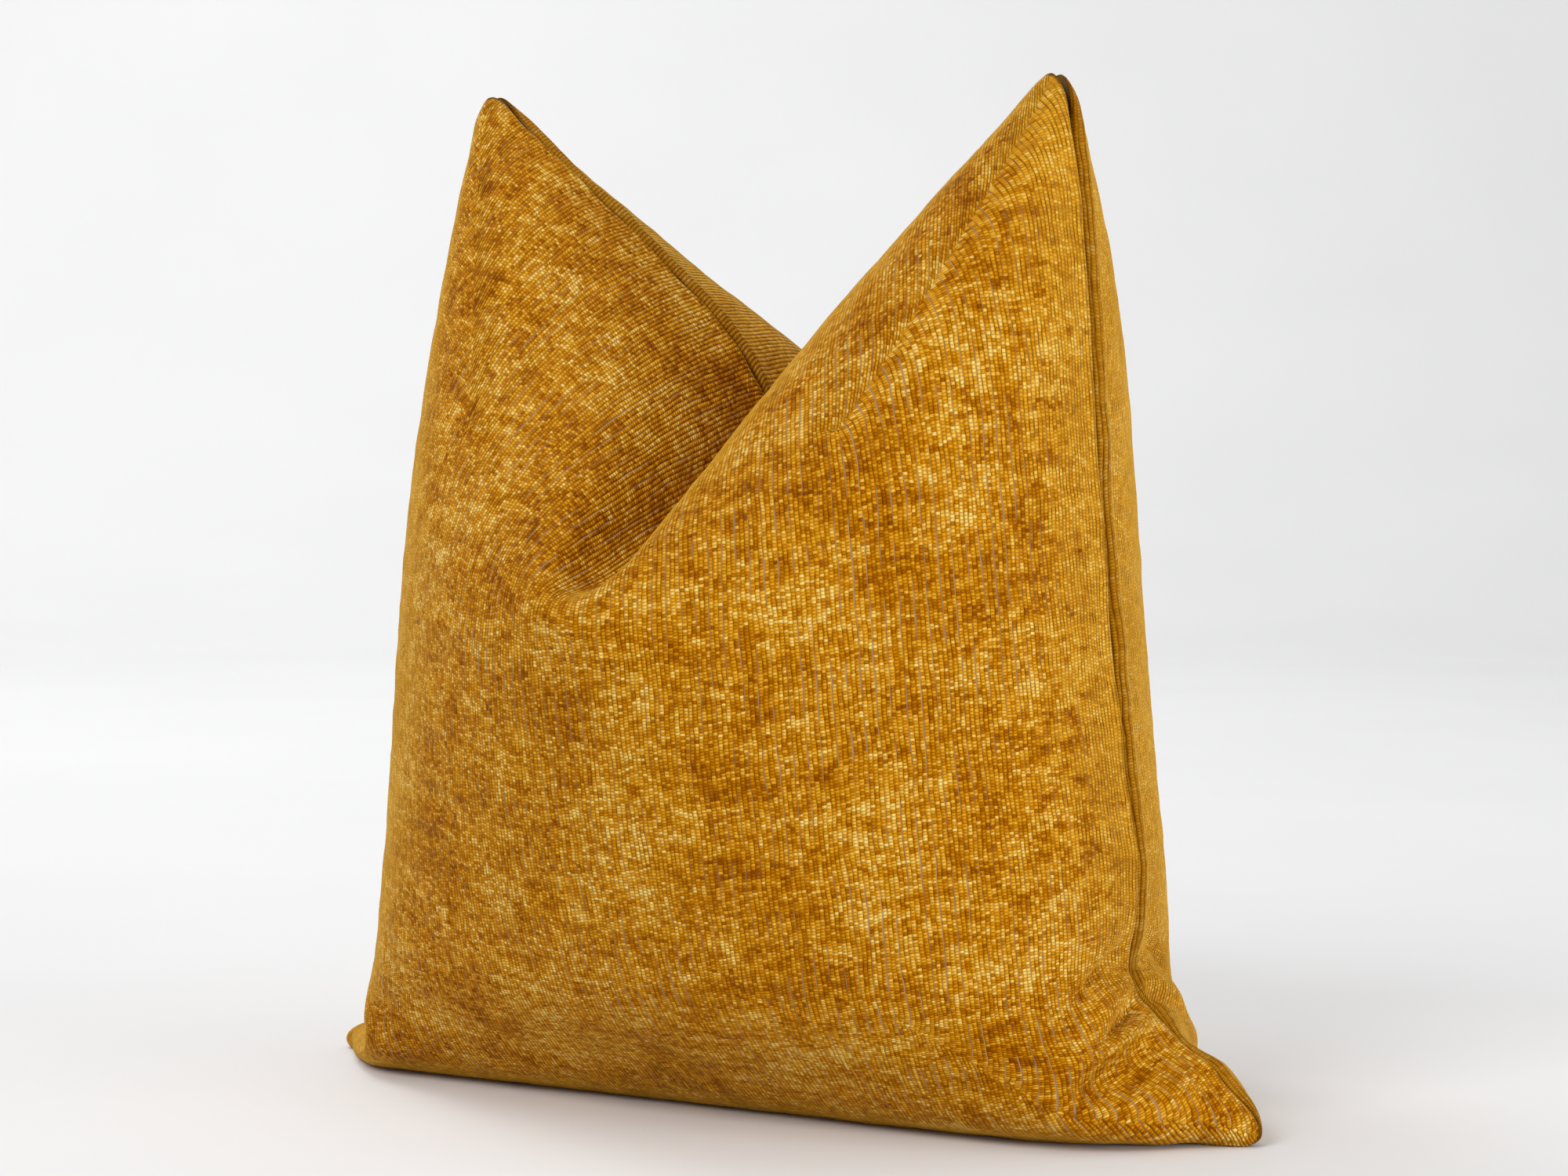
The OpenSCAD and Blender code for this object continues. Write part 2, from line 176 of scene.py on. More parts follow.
def simulate():
    P = None
    stages = [(33, 220, None, None), (33, 260, -0.02, SIM["depth"]), (65, 220, SIM["depth"], SIM["depth"])]
    stages.append((129, 70, SIM["depth"], SIM["depth"]))
    for N, steps, dep0, dep1 in stages:
        if P is None:
            u = np.linspace(-W / 2, W / 2, N)
            v = np.linspace(0, W, N)
            X, Z = np.meshgrid(u, v, indexing="ij")
            s = np.sin(np.pi * (X / W + 0.5)) * np.sin(np.pi * Z / W)
            P = np.zeros((2, N, N, 3))
            for k, sg in ((0, -1), (1, 1)):
                P[k, ..., 0] = X * 0.97
                P[k, ..., 2] = Z * 0.97 + 0.01
                P[k, ..., 1] = sg * 0.06 * s ** 0.6
        while P.shape[1] < N:
            P = upsample(P)
        h = W / (N - 1)
        prev = P.copy()
        u = np.linspace(-W / 2, W / 2, N)
        U = np.where(u < 0, -1, 1)[None, :, None] * np.ones((2, N, N), int)
        d = np.array(SIM["d"], float)
        d /= np.linalg.norm(d)
        w = np.array((0, 0, 1.0))
        w = w - (w @ d) * d
        w /= np.linalg.norm(w)
        for k in range(steps):
            t = k / max(1, steps - 1)
            a = area_vectors(P)
            V = volume(P, a)
            f = to_points(a, P.shape) / (h * h)
            p0 = SIM["kp"] * (SIM["V"] - V) / SIM["V"] + SIM["p0"]
            p = np.maximum(p0 + SIM["gam"] * (0.25 - P[..., 2]), SIM["pmin"])
            vel = (P - prev) * SIM["damp"]
            ml = np.sqrt((vel * vel).sum(-1, keepdims=True))
            vel = vel * np.minimum(1, SIM["vmax"] / np.maximum(ml, 1e-12))
            prev = P.copy()
            P = P + vel + f * p[..., None] * SIM["ps"]
            P[..., 2] -= SIM["grav"]
            for it in range(SIM["iters"]):
                relax(P, h, SIM["ks"], SIM["kc"], SIM["ksh"], SIM["kb"], SIM["kb4"])
                if dep0 is not None:
                    A = np.array(SIM["A"], float)
                    A[2] -= dep0 + (dep1 - dep0) * t
                    press(P, A, d, w, SIM["al0"], SIM["r"], U, SIM["aE"], SIM["lE"], SIM["bk"])
                low = P[..., 2] < 0
                P[..., 2] = np.maximum(P[..., 2], 0)
                fr = low[..., None] * SIM["fric"]
                P[..., :2] += fr * (prev[..., :2] - P[..., :2])
                for i, sx in ((0, -1), (-1, 1)):
                    tgt = np.array([sx * SIM["ear"][0], 0.0, SIM["ear"][1]])
                    for s in (0, 1):
                        P[s, i, -1] += 0.3 * (tgt - P[s, i, -1])
                sew(P)
    return P


def smooth_once(P):
    """One light smoothing of the panels. Their sewn edges are smoothed only along themselves."""
    Q = P.copy()
    Q[:, 1:-1, 1:-1] = (4 * P[:, 1:-1, 1:-1] + 2 * (P[:, 2:, 1:-1] + P[:, :-2, 1:-1] + P[:, 1:-1, 2:] + P[:, 1:-1, :-2])
                        + P[:, 2:, 2:] + P[:, 2:, :-2] + P[:, :-2, 2:] + P[:, :-2, :-2]) / 16
    for k in (0, -1):
        Q[:, k, 1:-1] = 0.25 * (P[:, k, 2:] + 2 * P[:, k, 1:-1] + P[:, k, :-2])
        Q[:, 1:-1, k] = 0.25 * (P[:, 2:, k] + 2 * P[:, 1:-1, k] + P[:, :-2, k])
    return Q


def settle(P):
    """Settling of the filled cover: the lobes' upper edges pulled taut, the right dog-ear opened out,
    the front of the base rounded up off the floor."""
    n = P.shape[1]
    a, b = np.meshgrid(np.linspace(0, 1, n), np.linspace(0, 1, n), indexing="ij")
    u = np.abs(2 * a - 1)

    def s3(x0, x1, x):
        t = np.clip((x - x0) / (x1 - x0), 0, 1)
        return t * t * (3 - 2 * t)

    # lobes
    for s in (0, 1):
        wb = s3(LOBE["from"][s], 1.0, b)
        arch = np.sin(np.pi * np.clip(u, 0, 1)) ** 1.2
        height = np.where(a < 0.5, LOBE["left"][s], LOBE["right"][s])
        P[s, ..., 2] += wb * (height * arch + LOBE["ear"] * s3(0.45, 1.0, u) + LOBE["notch"] * (1 - s3(0.0, 0.5, u)))
        P[s, ..., 1] += wb * LOBE["back"] * arch
    high = s3(0.16, 0.32, P[1, ..., 2])
    P[1, ..., 1] += LOBE["fat"] * high * np.clip(1 - np.abs(2 * a - 1) ** 6, 0, 1) * (1 - s3(0.85, 1.0, b))
    # right dog-ear: shift along the side seam by cloth height, fading into the panels
    t = b * W
    r = (1 - a) * W
    fade = np.exp(-(r / DOG["wide"]) ** 2)
    P[..., 0] += np.interp(t, DOG["t"], DOG["x"]) * fade
    P[..., 2] += np.interp(t, DOG["t"], DOG["z"]) * fade
    # front of the base
    lift = BASE["lift"] * s3(BASE["y0"], BASE["y1"], -P[0, ..., 1]) * (1 - s3(0.0, 0.075, P[0, ..., 2])) * (1 - s3(0.80, 1.0, u))
    P[0, ..., 2] += lift
    return P


LOBE = {"from": (0.60, 0.56), "left": (0.022, 0.023), "right": (0.022, 0.018), "ear": 0.016, "notch": 0.010, "back": 0.003, "fat": 0.002}
DOG = {"wide": 0.050, "t": [0, 0.016, 0.032, 0.048, 0.064, 0.080, 0.095, 0.111, 0.127, 0.150, 0.180],
       "x": [0.003, 0.008, 0.013, 0.020, 0.026, 0.025, 0.009, -0.009, -0.014, -0.005, 0],
       "z": [0, 0.005, 0.012, 0.020, 0.028, 0.023, 0.016, 0.011, 0.006, 0.002, 0]}
BASE = {"lift": 0.0160, "y0": 0.024, "y1": 0.090}

P = simulate()
while P.shape[1] < 129:
    P = smooth_once(upsample(P))
P = settle(P)
for _ in range(3):
    P = smooth_once(P)
sew(P)


# ======================================================================================
#  2. Reading the simulated panels at any cloth coordinate
# ======================================================================================
def ss(a, b, x):
    t = np.clip((x - a) / (b - a), 0, 1)
    return t * t * (3 - 2 * t)


def mix(a, b, t):
    return a + (b - a) * t


def unit(v):
    return v / (np.sqrt((v * v).sum(-1, keepdims=True)) + 1e-12)


N = P.shape[1]
PX = np.pad(P, ((0, 0), (1, 1), (1, 1), (0, 0)))
PX[:, 0] = 2 * PX[:, 1] - PX[:, 2]
PX[:, -1] = 2 * PX[:, -2] - PX[:, -3]
PX[:, :, 0] = 2 * PX[:, :, 1] - PX[:, :, 2]
PX[:, :, -1] = 2 * PX[:, :, -2] - PX[:, :, -3]


def weights(t):
    t2, t3 = t * t, t * t * t
    return (-0.5 * t + t2 - 0.5 * t3, 1 - 2.5 * t2 + 1.5 * t3, 0.5 * t + 2 * t2 - 1.5 * t3, -0.5 * t2 + 0.5 * t3)


def sample(side, a, b):
    """Point on a panel at cloth coordinates a, b in 0..1 (cubic between the simulated points)."""
    x, y = np.clip(a, 0, 1) * (N - 1), np.clip(b, 0, 1) * (N - 1)
    i, j = np.minimum(x.astype(int), N - 2), np.minimum(y.astype(int), N - 2)
    wx, wy = weights(x - i), weights(y - j)
    out = np.zeros(a.shape + (3,))
    for p in range(4):
        for q in range(4):
            out += (wx[p] * wy[q])[..., None] * PX[side][i + p, j + q]
    return out


def corner_round(a, b, p=60.0):
    """Rounds the square's four corners a little, as a turned corner is."""
    u, v = 2 * a - 1, 2 * b - 1
    p = np.where(v > 0, 24.0, p)
    m = np.maximum(np.abs(u), np.abs(v))
    f = np.where(m > 0.5, m / np.maximum((np.abs(u) ** p + np.abs(v) ** p) ** (1 / p), 1e-9), 1.0)
    return (u * f + 1) / 2, (v * f + 1) / 2


def hash2(i, j, seed):
    x = np.sin(i * 127.1 + j * 311.7 + seed * 74.7) * 43758.5453
    return x - np.floor(x)


def noise(x, y, seed=0.0):
    """Smooth value noise, -1..1."""
    i, j = np.floor(x), np.floor(y)
    fx, fy = x - i, y - j
    fx, fy = fx * fx * (3 - 2 * fx), fy * fy * (3 - 2 * fy)
    a, b = hash2(i, j, seed), hash2(i + 1, j, seed)
    c, d = hash2(i, j + 1, seed), hash2(i + 1, j + 1, seed)
    return 2 * (mix(mix(a, b, fx), mix(c, d, fx), fy)) - 1


# ======================================================================================
#  3. Mesh helpers
# ======================================================================================
def make_mesh(name, verts, faces, mats, index=None, uvs=None, smooth=True):
    """faces: a list of integer arrays, one per number of corners. uvs: {layer: array per vertex}, or per corner."""
    verts = np.asarray(verts, float)
    me = bpy.data.meshes.new(name)
    me.vertices.add(len(verts))
    me.vertices.foreach_set("co", verts.astype(np.float32).ravel())
    flat = np.concatenate([f.ravel() for f in faces]).astype(np.int32)
    counts = np.concatenate([np.full(len(f), f.shape[1], np.int32) for f in faces])
    me.loops.add(len(flat))
    me.loops.foreach_set("vertex_index", flat)
    me.polygons.add(len(counts))
    me.polygons.foreach_set("loop_start", np.concatenate([[0], np.cumsum(counts)[:-1]]).astype(np.int32))
    for m in mats:
        me.materials.append(m)
    if index is not None:
        me.polygons.foreach_set("material_index", np.asarray(index, np.int32))
    me.polygons.foreach_set("use_smooth", np.full(len(counts), smooth))
    for layer, data in (uvs or {}).items():
        uv = me.uv_layers.new(name=layer)
        data = np.asarray(data, float)
        if len(data) == len(verts):
            data = data[flat]
        uv.data.foreach_set("uv", data.astype(np.float32).ravel())
    me.update(calc_edges=True)
    me.validate()
    ob = bpy.data.objects.new(name, me)
    bpy.context.scene.collection.objects.link(ob)
    return ob


def tube(path, radius, sides=6, up=None):
    """Closed tube along a path: vertices and faces."""
    path = np.asarray(path, float)
    n = len(path)
    t = unit(np.gradient(path, axis=0))
    ref = np.array([0, 0, 1.0]) if up is None else np.asarray(up, float)
    a = np.cross(t, ref)
    bad = (a * a).sum(-1) < 1e-8
    a[bad] = np.cross(t[bad], np.array([1.0, 0, 0]))
    a = unit(a)
    b = np.cross(t, a)
    r = np.broadcast_to(np.asarray(radius, float), (n,))
    ang = np.linspace(0, 2 * np.pi, sides, endpoint=False)
    V = path[:, None] + r[:, None, None] * (np.cos(ang)[None, :, None] * a[:, None] + np.sin(ang)[None, :, None] * b[:, None])
    k = np.arange(n - 1)[:, None] * sides
    c = np.arange(sides)[None]
    d = (c + 1) % sides
    Q = np.stack([k + c, k + sides + c, k + sides + d, k + d], -1).reshape(-1, 4)
    caps = np.array([np.arange(sides), (n - 1) * sides + np.arange(sides)[::-1]])
    return V.reshape(-1, 3), Q, caps


class Bits:
    """Collects many small closed tubes into one mesh."""

    def __init__(self, sides=6):
        self.v, self.q, self.c, self.n, self.sides = [], [], [], 0, sides

    def add(self, path, radius, up=None):
        v, q, c = tube(path, radius, self.sides, up)
        self.v.append(v)
        self.q.append(q + self.n)
        self.c.append(c + self.n)
        self.n += len(v)

    def mesh(self, name, mat):
        return make_mesh(name, np.concatenate(self.v), [np.concatenate(self.q), np.concatenate(self.c)], [mat])


def arc_resample(path, step):
    seg = np.sqrt(((path[1:] - path[:-1]) ** 2).sum(-1))
    s = np.concatenate([[0], np.cumsum(seg)])
    n = max(2, int(s[-1] / step) + 1)
    t = np.linspace(0, s[-1], n)
    return np.stack([np.interp(t, s, path[:, k]) for k in range(3)], -1), t


# ======================================================================================
#  4. Materials
# ======================================================================================
def srgb(r, g, b):
    def f(c):
        c = c / 255.0
        return c / 12.92 if c <= 0.04045 else ((c + 0.055) / 1.055) ** 2.4
    return (f(r), f(g), f(b), 1.0)


class Nodes:
    def __init__(self, name):
        self.mat = bpy.data.materials.new(name)
        self.mat.use_nodes = True
        self.nt = self.mat.node_tree
        self.nt.nodes.clear()
        self.out = self.nt.nodes.new("ShaderNodeOutputMaterial")
        self.bsdf = self.nt.nodes.new("ShaderNodeBsdfPrincipled")
        self.nt.links.new(self.bsdf.outputs[0], self.out.inputs["Surface"])

    def put(self, sock, val):
        if val is None:
            return
        if isinstance(val, bpy.types.NodeSocket):
            self.nt.links.new(val, sock)
        else:
            sock.default_value = val

    def math(self, op, a, b=None, c=None, clamp=False):
        n = self.nt.nodes.new("ShaderNodeMath")
        n.operation = op
        n.use_clamp = clamp
        for k, v in enumerate((a, b, c)):
            if v is not None:
                self.put(n.inputs[k], v)
        return n.outputs[0]

    def xyz(self, x, y, z=0.0):
        n = self.nt.nodes.new("ShaderNodeCombineXYZ")
        for k, v in enumerate((x, y, z)):
            self.put(n.inputs[k], v)
        return n.outputs[0]

    def split(self, v):
        n = self.nt.nodes.new("ShaderNodeSeparateXYZ")
        self.put(n.inputs[0], v)
        return n.outputs[0], n.outputs[1], n.outputs[2]

    def noise(self, vec, scale=1.0, detail=2.0, rough=0.5, out=0):
        n = self.nt.nodes.new("ShaderNodeTexNoise")
        self.put(n.inputs["Vector"], vec)
        n.inputs["Scale"].default_value = scale
        n.inputs["Detail"].default_value = detail
        n.inputs["Roughness"].default_value = rough
        return n.outputs[out]

    def white(self, vec):
        n = self.nt.nodes.new("ShaderNodeTexWhiteNoise")
        n.noise_dimensions = "3D"
        self.put(n.inputs["Vector"], vec)
        return n.outputs["Value"]

    def ramp(self, fac, stops, mode="LINEAR"):
        n = self.nt.nodes.new("ShaderNodeValToRGB")
        n.color_ramp.interpolation = mode
        e = n.color_ramp.elements
        while len(e) > 1:
            e.remove(e[-1])
        e[0].position, e[0].color = stops[0]
        for p, c in stops[1:]:
            x = e.new(p)
            x.color = c
        self.put(n.inputs[0], fac)
        return n.outputs[0]

    def mixc(self, fac, a, b, mode="MIX"):
        n = self.nt.nodes.new("ShaderNodeMix")
        n.data_type = "RGBA"
        n.blend_type = mode
        n.clamp_factor = True
        self.put(n.inputs[0], fac)
        self.put(n.inputs[6], a)
        self.put(n.inputs[7], b)
        return n.outputs[2]

    def map(self, x, a0, a1, b0=0.0, b1=1.0, smooth=False):
        n = self.nt.nodes.new("ShaderNodeMapRange")
        n.interpolation_type = "SMOOTHSTEP" if smooth else "LINEAR"
        n.clamp = True
        for k, v in enumerate((x, a0, a1, b0, b1)):
            self.put(n.inputs[k], v)
        return n.outputs[0]

    def uv(self, name):
        n = self.nt.nodes.new("ShaderNodeUVMap")
        n.uv_map = name
        return n.outputs[0]

    def objco(self):
        return self.nt.nodes.new("ShaderNodeTexCoord").outputs["Object"]

    def bump(self, height, dist, strength=1.0):
        n = self.nt.nodes.new("ShaderNodeBump")
        n.inputs["Strength"].default_value = strength
        n.inputs["Distance"].default_value = dist
        self.put(n.inputs["Height"], height)
        self.put(self.bsdf.inputs["Normal"], n.outputs[0])

    def set(self, **kw):
        for k, v in kw.items():
            self.put(self.bsdf.inputs[k.replace("_", " ")], v)


def chenille():
    """Chenille with a crushed pile: ribs along the warp, small tufts, nap in light and dark patches."""
    m = Nodes("chenille_pile")
    x0, y0, _ = m.split(m.uv("cloth"))
    # the ribs wander a little
    wob = m.noise(m.xyz(m.math("MULTIPLY", x0, 45.0), m.math("MULTIPLY", y0, 30.0)), 1.0, 3.0)
    x = m.math("MULTIPLY_ADD", wob, 0.0036, x0)
    wob2 = m.noise(m.xyz(m.math("MULTIPLY", x0, 60.0), m.math("MULTIPLY", y0, 60.0), 7.0), 1.0, 2.0)
    y = m.math("MULTIPLY_ADD", wob2, 0.0022, y0)
    pitch, tuft = 0.00205, 0.00140
    rx = m.math("DIVIDE", x, pitch)
    col = m.math("FLOOR", rx)
    fx = m.math("SUBTRACT", rx, col)
    edge = m.math("ABSOLUTE", m.math("MULTIPLY_ADD", fx, 2.0, -1.0))             # 0 on a rib, 1 between ribs
    jump = m.white(m.xyz(col, 3.0, 1.0))
    ry = m.math("ADD", m.math("DIVIDE", y, tuft), jump)
    row = m.math("FLOOR", ry)
    fy = m.math("SUBTRACT", ry, row)
    tedge = m.math("ABSOLUTE", m.math("MULTIPLY_ADD", fy, 2.0, -1.0))
    rnd = m.white(m.xyz(col, row, 5.0))                                          # each tuft's own shade
    # crushed pile: patches on several scales; the finer ones change from tuft to tuft
    xq = m.math("MULTIPLY", col, pitch)
    yq = m.math("MULTIPLY", m.math("SUBTRACT", row, jump), tuft)
    big = m.noise(m.xyz(m.math("MULTIPLY", x0, 17.0), m.math("MULTIPLY", y0, 24.0), 2.0), 1.0, 3.0, 0.6)
    mid = m.noise(m.xyz(m.math("MULTIPLY", xq, 85.0), m.math("MULTIPLY", yq, 150.0), 4.0), 1.0, 4.0, 0.70)
    small = m.noise(m.xyz(m.math("MULTIPLY", xq, 330.0), m.math("MULTIPLY", yq, 430.0), 9.0), 1.0, 2.0, 0.6)
    fine = m.noise(m.xyz(m.math("MULTIPLY", x0, 1500.0), m.math("MULTIPLY", y0, 1500.0), 5.0), 1.0, 2.0, 0.6)
    streak = m.noise(m.xyz(m.math("MULTIPLY", x0, 330.0), m.math("MULTIPLY", y0, 34.0), 6.0), 1.0, 2.0, 0.6)
    bar = m.noise(m.xyz(m.math("MULTIPLY", xq, 38.0), m.math("MULTIPLY", yq, 190.0), 12.0), 1.0, 3.0, 0.65)
    f = m.math("MULTIPLY_ADD", m.math("SUBTRACT", bar, 0.5), 0.42, m.math("MULTIPLY", big, 0.68))
    f = m.math("MULTIPLY_ADD", mid, 0.80, f)
    f = m.math("MULTIPLY_ADD", small, 0.42, f)
    f = m.math("MULTIPLY_ADD", streak, 0.30, f)
    f = m.math("MULTIPLY_ADD", rnd, 0.32, f)
    f = m.math("MULTIPLY_ADD", fine, 0.30, f)                                    # about 1.29 in the middle
    f = m.map(f, 1.05, 1.70)
    c = m.ramp(f, [(0.0, srgb(132, 66, 0)), (0.22, srgb(164, 92, 0)), (0.46, srgb(198, 124, 2)),
                   (0.72, srgb(230, 162, 32)), (1.0, srgb(255, 214, 112))])
    # between the ribs: painted shade in dark broken slits
    gap = m.map(edge, 0.52, 0.98, smooth=True)
    dash = m.noise(m.xyz(m.math("MULTIPLY", col, 7.31), m.math("MULTIPLY", y0, 120.0), 1.0), 1.0, 2.0, 0.6)
    dash = m.map(dash, 0.44, 0.60)
    ribvis = m.map(m.noise(m.xyz(m.math("MULTIPLY", x0, 16.0), m.math("MULTIPLY", y0, 20.0), 15.0), 1.0, 2.0, 0.6), 0.36, 0.60, 0.20, 1.0)
    slit_shade = m.math("MULTIPLY", gap, m.math("MULTIPLY_ADD", dash, 0.60, m.math("MULTIPLY", ribvis, 0.18)))
    c = m.mixc(slit_shade, c, srgb(96, 48, 0))
    # shade at each tuft's foot
    c = m.mixc(m.math("MULTIPLY", m.map(tedge, 0.45, 1.0, smooth=True), 0.42), c, srgb(116, 60, 0))
    # every third gap the backing's greyish warp shows in places
    third = m.math("DIVIDE", x, pitch * 3)
    tf = m.math("ABSOLUTE", m.math("MULTIPLY_ADD", m.math("SUBTRACT", third, m.math("FLOOR", third)), 2.0, -1.0))
    warp = m.map(tf, 0.80, 0.93, smooth=True)
    seen = m.noise(m.xyz(m.math("MULTIPLY", m.math("FLOOR", third), 3.7), m.math("MULTIPLY", y0, 42.0), 8.0), 1.0, 2.0, 0.55)
    seen2 = m.noise(m.xyz(m.math("MULTIPLY", x0, 9.0), m.math("MULTIPLY", y0, 7.0), 3.0), 1.0, 1.0)
    seen = m.math("MULTIPLY", m.map(seen, 0.47, 0.58), m.map(seen2, 0.36, 0.58, 0.35, 1.0))
    c = m.mixc(m.math("MULTIPLY", warp, m.math("MULTIPLY", seen, 0.85)), c, srgb(180, 152, 114))
    # painted sheen: seen along the pile the colour turns pale gold and its patches fade
    lw = m.nt.nodes.new("ShaderNodeLayerWeight")
    lw.inputs["Blend"].default_value = 0.5
    graze_sheen = m.map(lw.outputs["Facing"], 0.52, 0.95, 0.0, 0.70, smooth=True)
    graze_sheen = m.math("MULTIPLY", graze_sheen, m.math("SUBTRACT", 1.0, m.math("MULTIPLY", slit_shade, 0.9)))
    c = m.mixc(graze_sheen, c, srgb(232, 176, 48))
    # towards the right seam, and on the back panel's sides, painted sheen makes the pile paler, and painted shade
    # darkens its slits
    drift = m.math("MULTIPLY", m.math("SUBTRACT", mid, 0.5), 0.16)
    xd = m.math("ADD", x0, drift)
    front = m.math("MULTIPLY", m.map(xd, 0.455, 0.490), m.map(y0, 0.08, 0.17))
    sheen_zone = m.math("MAXIMUM", m.math("MULTIPLY", front, m.math("LESS_THAN", y0, 0.6)),
                  m.math("MULTIPLY", m.map(xd, 0.52, 0.44), m.math("GREATER_THAN", y0, 0.65)))
    rim, which, _ = m.split(m.uv("rim"))
    sheen_zone = m.math("MAXIMUM", sheen_zone, m.math("MULTIPLY", m.map(rim, 0.044, 0.030), which))
    open_ = m.math("SUBTRACT", 1.0, m.math("MULTIPLY", slit_shade, 1.0, clamp=True))
    # painted sheen: paler pile in this zone
    c = m.mixc(m.math("MULTIPLY", m.math("MULTIPLY", sheen_zone, 0.42), open_), c, srgb(228, 170, 48))
    # painted shade in this zone's slits
    c = m.mixc(m.math("MULTIPLY", m.math("MULTIPLY", sheen_zone, gap), m.math("MULTIPLY", dash, 0.75)), c, srgb(104, 56, 0))
    # painted shade where the pile parts over the sewn line, down in its groove, and on the rolled edge beside it
    c = m.mixc(m.map(rim, 0.0004, 0.0017, 0.85, 0.0, smooth=True), c, srgb(66, 32, 0))
    # painted shade on the rolled edge, stronger on the back panel
    roll_shade = m.math("MULTIPLY", m.map(rim, 0.0046, 0.0066, 1.0, 0.0, smooth=True), m.map(which, 0.0, 1.0, 0.12, 0.55))
    c = m.mixc(roll_shade, c, srgb(134, 78, 0))
    m.set(Base_Color=c, Roughness=m.map(f, 0.0, 1.0, 0.90, 0.60))
    m.bsdf.inputs["Specular IOR Level"].default_value = 0.22
    m.bsdf.inputs["Specular Tint"].default_value = srgb(255, 196, 60)
    m.bsdf.inputs["Sheen Weight"].default_value = 0.10
    m.bsdf.inputs["Sheen Roughness"].default_value = 0.35
    m.bsdf.inputs["Sheen Tint"].default_value = srgb(255, 190, 50)
    rib = m.math("SUBTRACT", 1.0, m.math("MULTIPLY", edge, edge))
    tf2 = m.math("SUBTRACT", 1.0, m.math("MULTIPLY", tedge, tedge))
    h = m.math("MULTIPLY_ADD", rib, 0.45, m.math("MULTIPLY", m.math("MULTIPLY", tf2, rib), 0.45))
    h = m.math("MULTIPLY_ADD", small, 0.7, h)
    h = m.math("MULTIPLY_ADD", mid, 0.7, h)
    m.bump(h, 0.0013, 0.95)
    return m.mat


def woven(name, col_a, col_b, pitch, rough=0.9, bump=0.00015, uv=None, sheen=0.1):
    """A plain weave of threads."""
    m = Nodes(name)
    x, y, z = m.split(m.uv(uv) if uv else m.objco())
    if not uv:
        y = m.math("ADD", y, z)
    a = m.math("SINE", m.math("MULTIPLY", x, 2 * math.pi / pitch))
    b = m.math("SINE", m.math("MULTIPLY", y, 2 * math.pi / pitch))
    w = m.math("MULTIPLY", a, b)
    n = m.noise(m.xyz(m.math("MULTIPLY", x, 300.0), m.math("MULTIPLY", y, 300.0), z), 1.0, 4.0, 0.6)
    big = m.noise(m.xyz(m.math("MULTIPLY", x, 20.0), m.math("MULTIPLY", y, 20.0), z), 1.0, 2.0, 0.5)
    f = m.math("MULTIPLY_ADD", w, 0.18, m.math("MULTIPLY_ADD", n, 0.6, m.math("MULTIPLY", big, 0.4)))
    m.set(Base_Color=m.ramp(m.map(f, 0.25, 0.8), [(0.0, col_a), (1.0, col_b)]), Roughness=m.map(n, 0.3, 0.7, rough - 0.08, rough))
    m.bsdf.inputs["Sheen Weight"].default_value = sheen
    m.bump(m.math("MULTIPLY_ADD", w, 0.5, n), bump, 0.8)
    return m.mat


def thread_mat(name, col_a, col_b):
    """Twisted sewing thread."""
    m = Nodes(name)
    x, y, z = m.split(m.objco())
    t = m.math("ADD", m.math("MULTIPLY", x, 5200.0), m.math("ADD", m.math("MULTIPLY", z, 7400.0), m.math("MULTIPLY", y, 3100.0)))
    s = m.math("SINE", t)
    n = m.noise(m.objco(), 500.0, 3.0, 0.6)
    f = m.math("MULTIPLY_ADD", s, 0.22, n)
    m.set(Base_Color=m.ramp(m.map(f, 0.25, 0.8), [(0.0, col_a), (1.0, col_b)]), Roughness=m.map(n, 0.3, 0.7, 0.55, 0.8))
    m.bsdf.inputs["Sheen Weight"].default_value = 0.2
    m.bump(f, 0.00008, 0.6)
    return m.mat


def twill(name, col_a, col_b):
    """Zip tape: fine herringbone twill."""
    m = Nodes(name)
    x, y, z = m.split(m.objco())
    zig = m.math("ABSOLUTE", m.math("SUBTRACT", m.math("FRACT", m.math("DIVIDE", y, 0.0052)), 0.5))
    d = m.math("SINE", m.math("MULTIPLY", m.math("ADD", x, m.math("MULTIPLY", zig, 0.0052)), 2 * math.pi / 0.0009))
    n = m.noise(m.objco(), 700.0, 3.0, 0.6)
    f = m.math("MULTIPLY_ADD", d, 0.2, n)
    m.set(Base_Color=m.ramp(m.map(f, 0.25, 0.8), [(0.0, col_a), (1.0, col_b)]), Roughness=m.map(n, 0.3, 0.7, 0.7, 0.9))
    m.bump(f, 0.00012, 0.7)
    return m.mat


def nylon(name, col_a, col_b):
    m = Nodes(name)
    n = m.noise(m.objco(), 900.0, 3.0, 0.6)
    k = m.noise(m.objco(), 60.0, 2.0, 0.5)
    m.set(Base_Color=m.ramp(m.map(m.math("MULTIPLY_ADD", n, 0.5, m.math("MULTIPLY", k, 0.5)), 0.3, 0.7), [(0.0, col_a), (1.0, col_b)]),
          Roughness=m.map(n, 0.3, 0.7, 0.32, 0.5))
    m.bump(n, 0.00004, 0.5)
    return m.mat


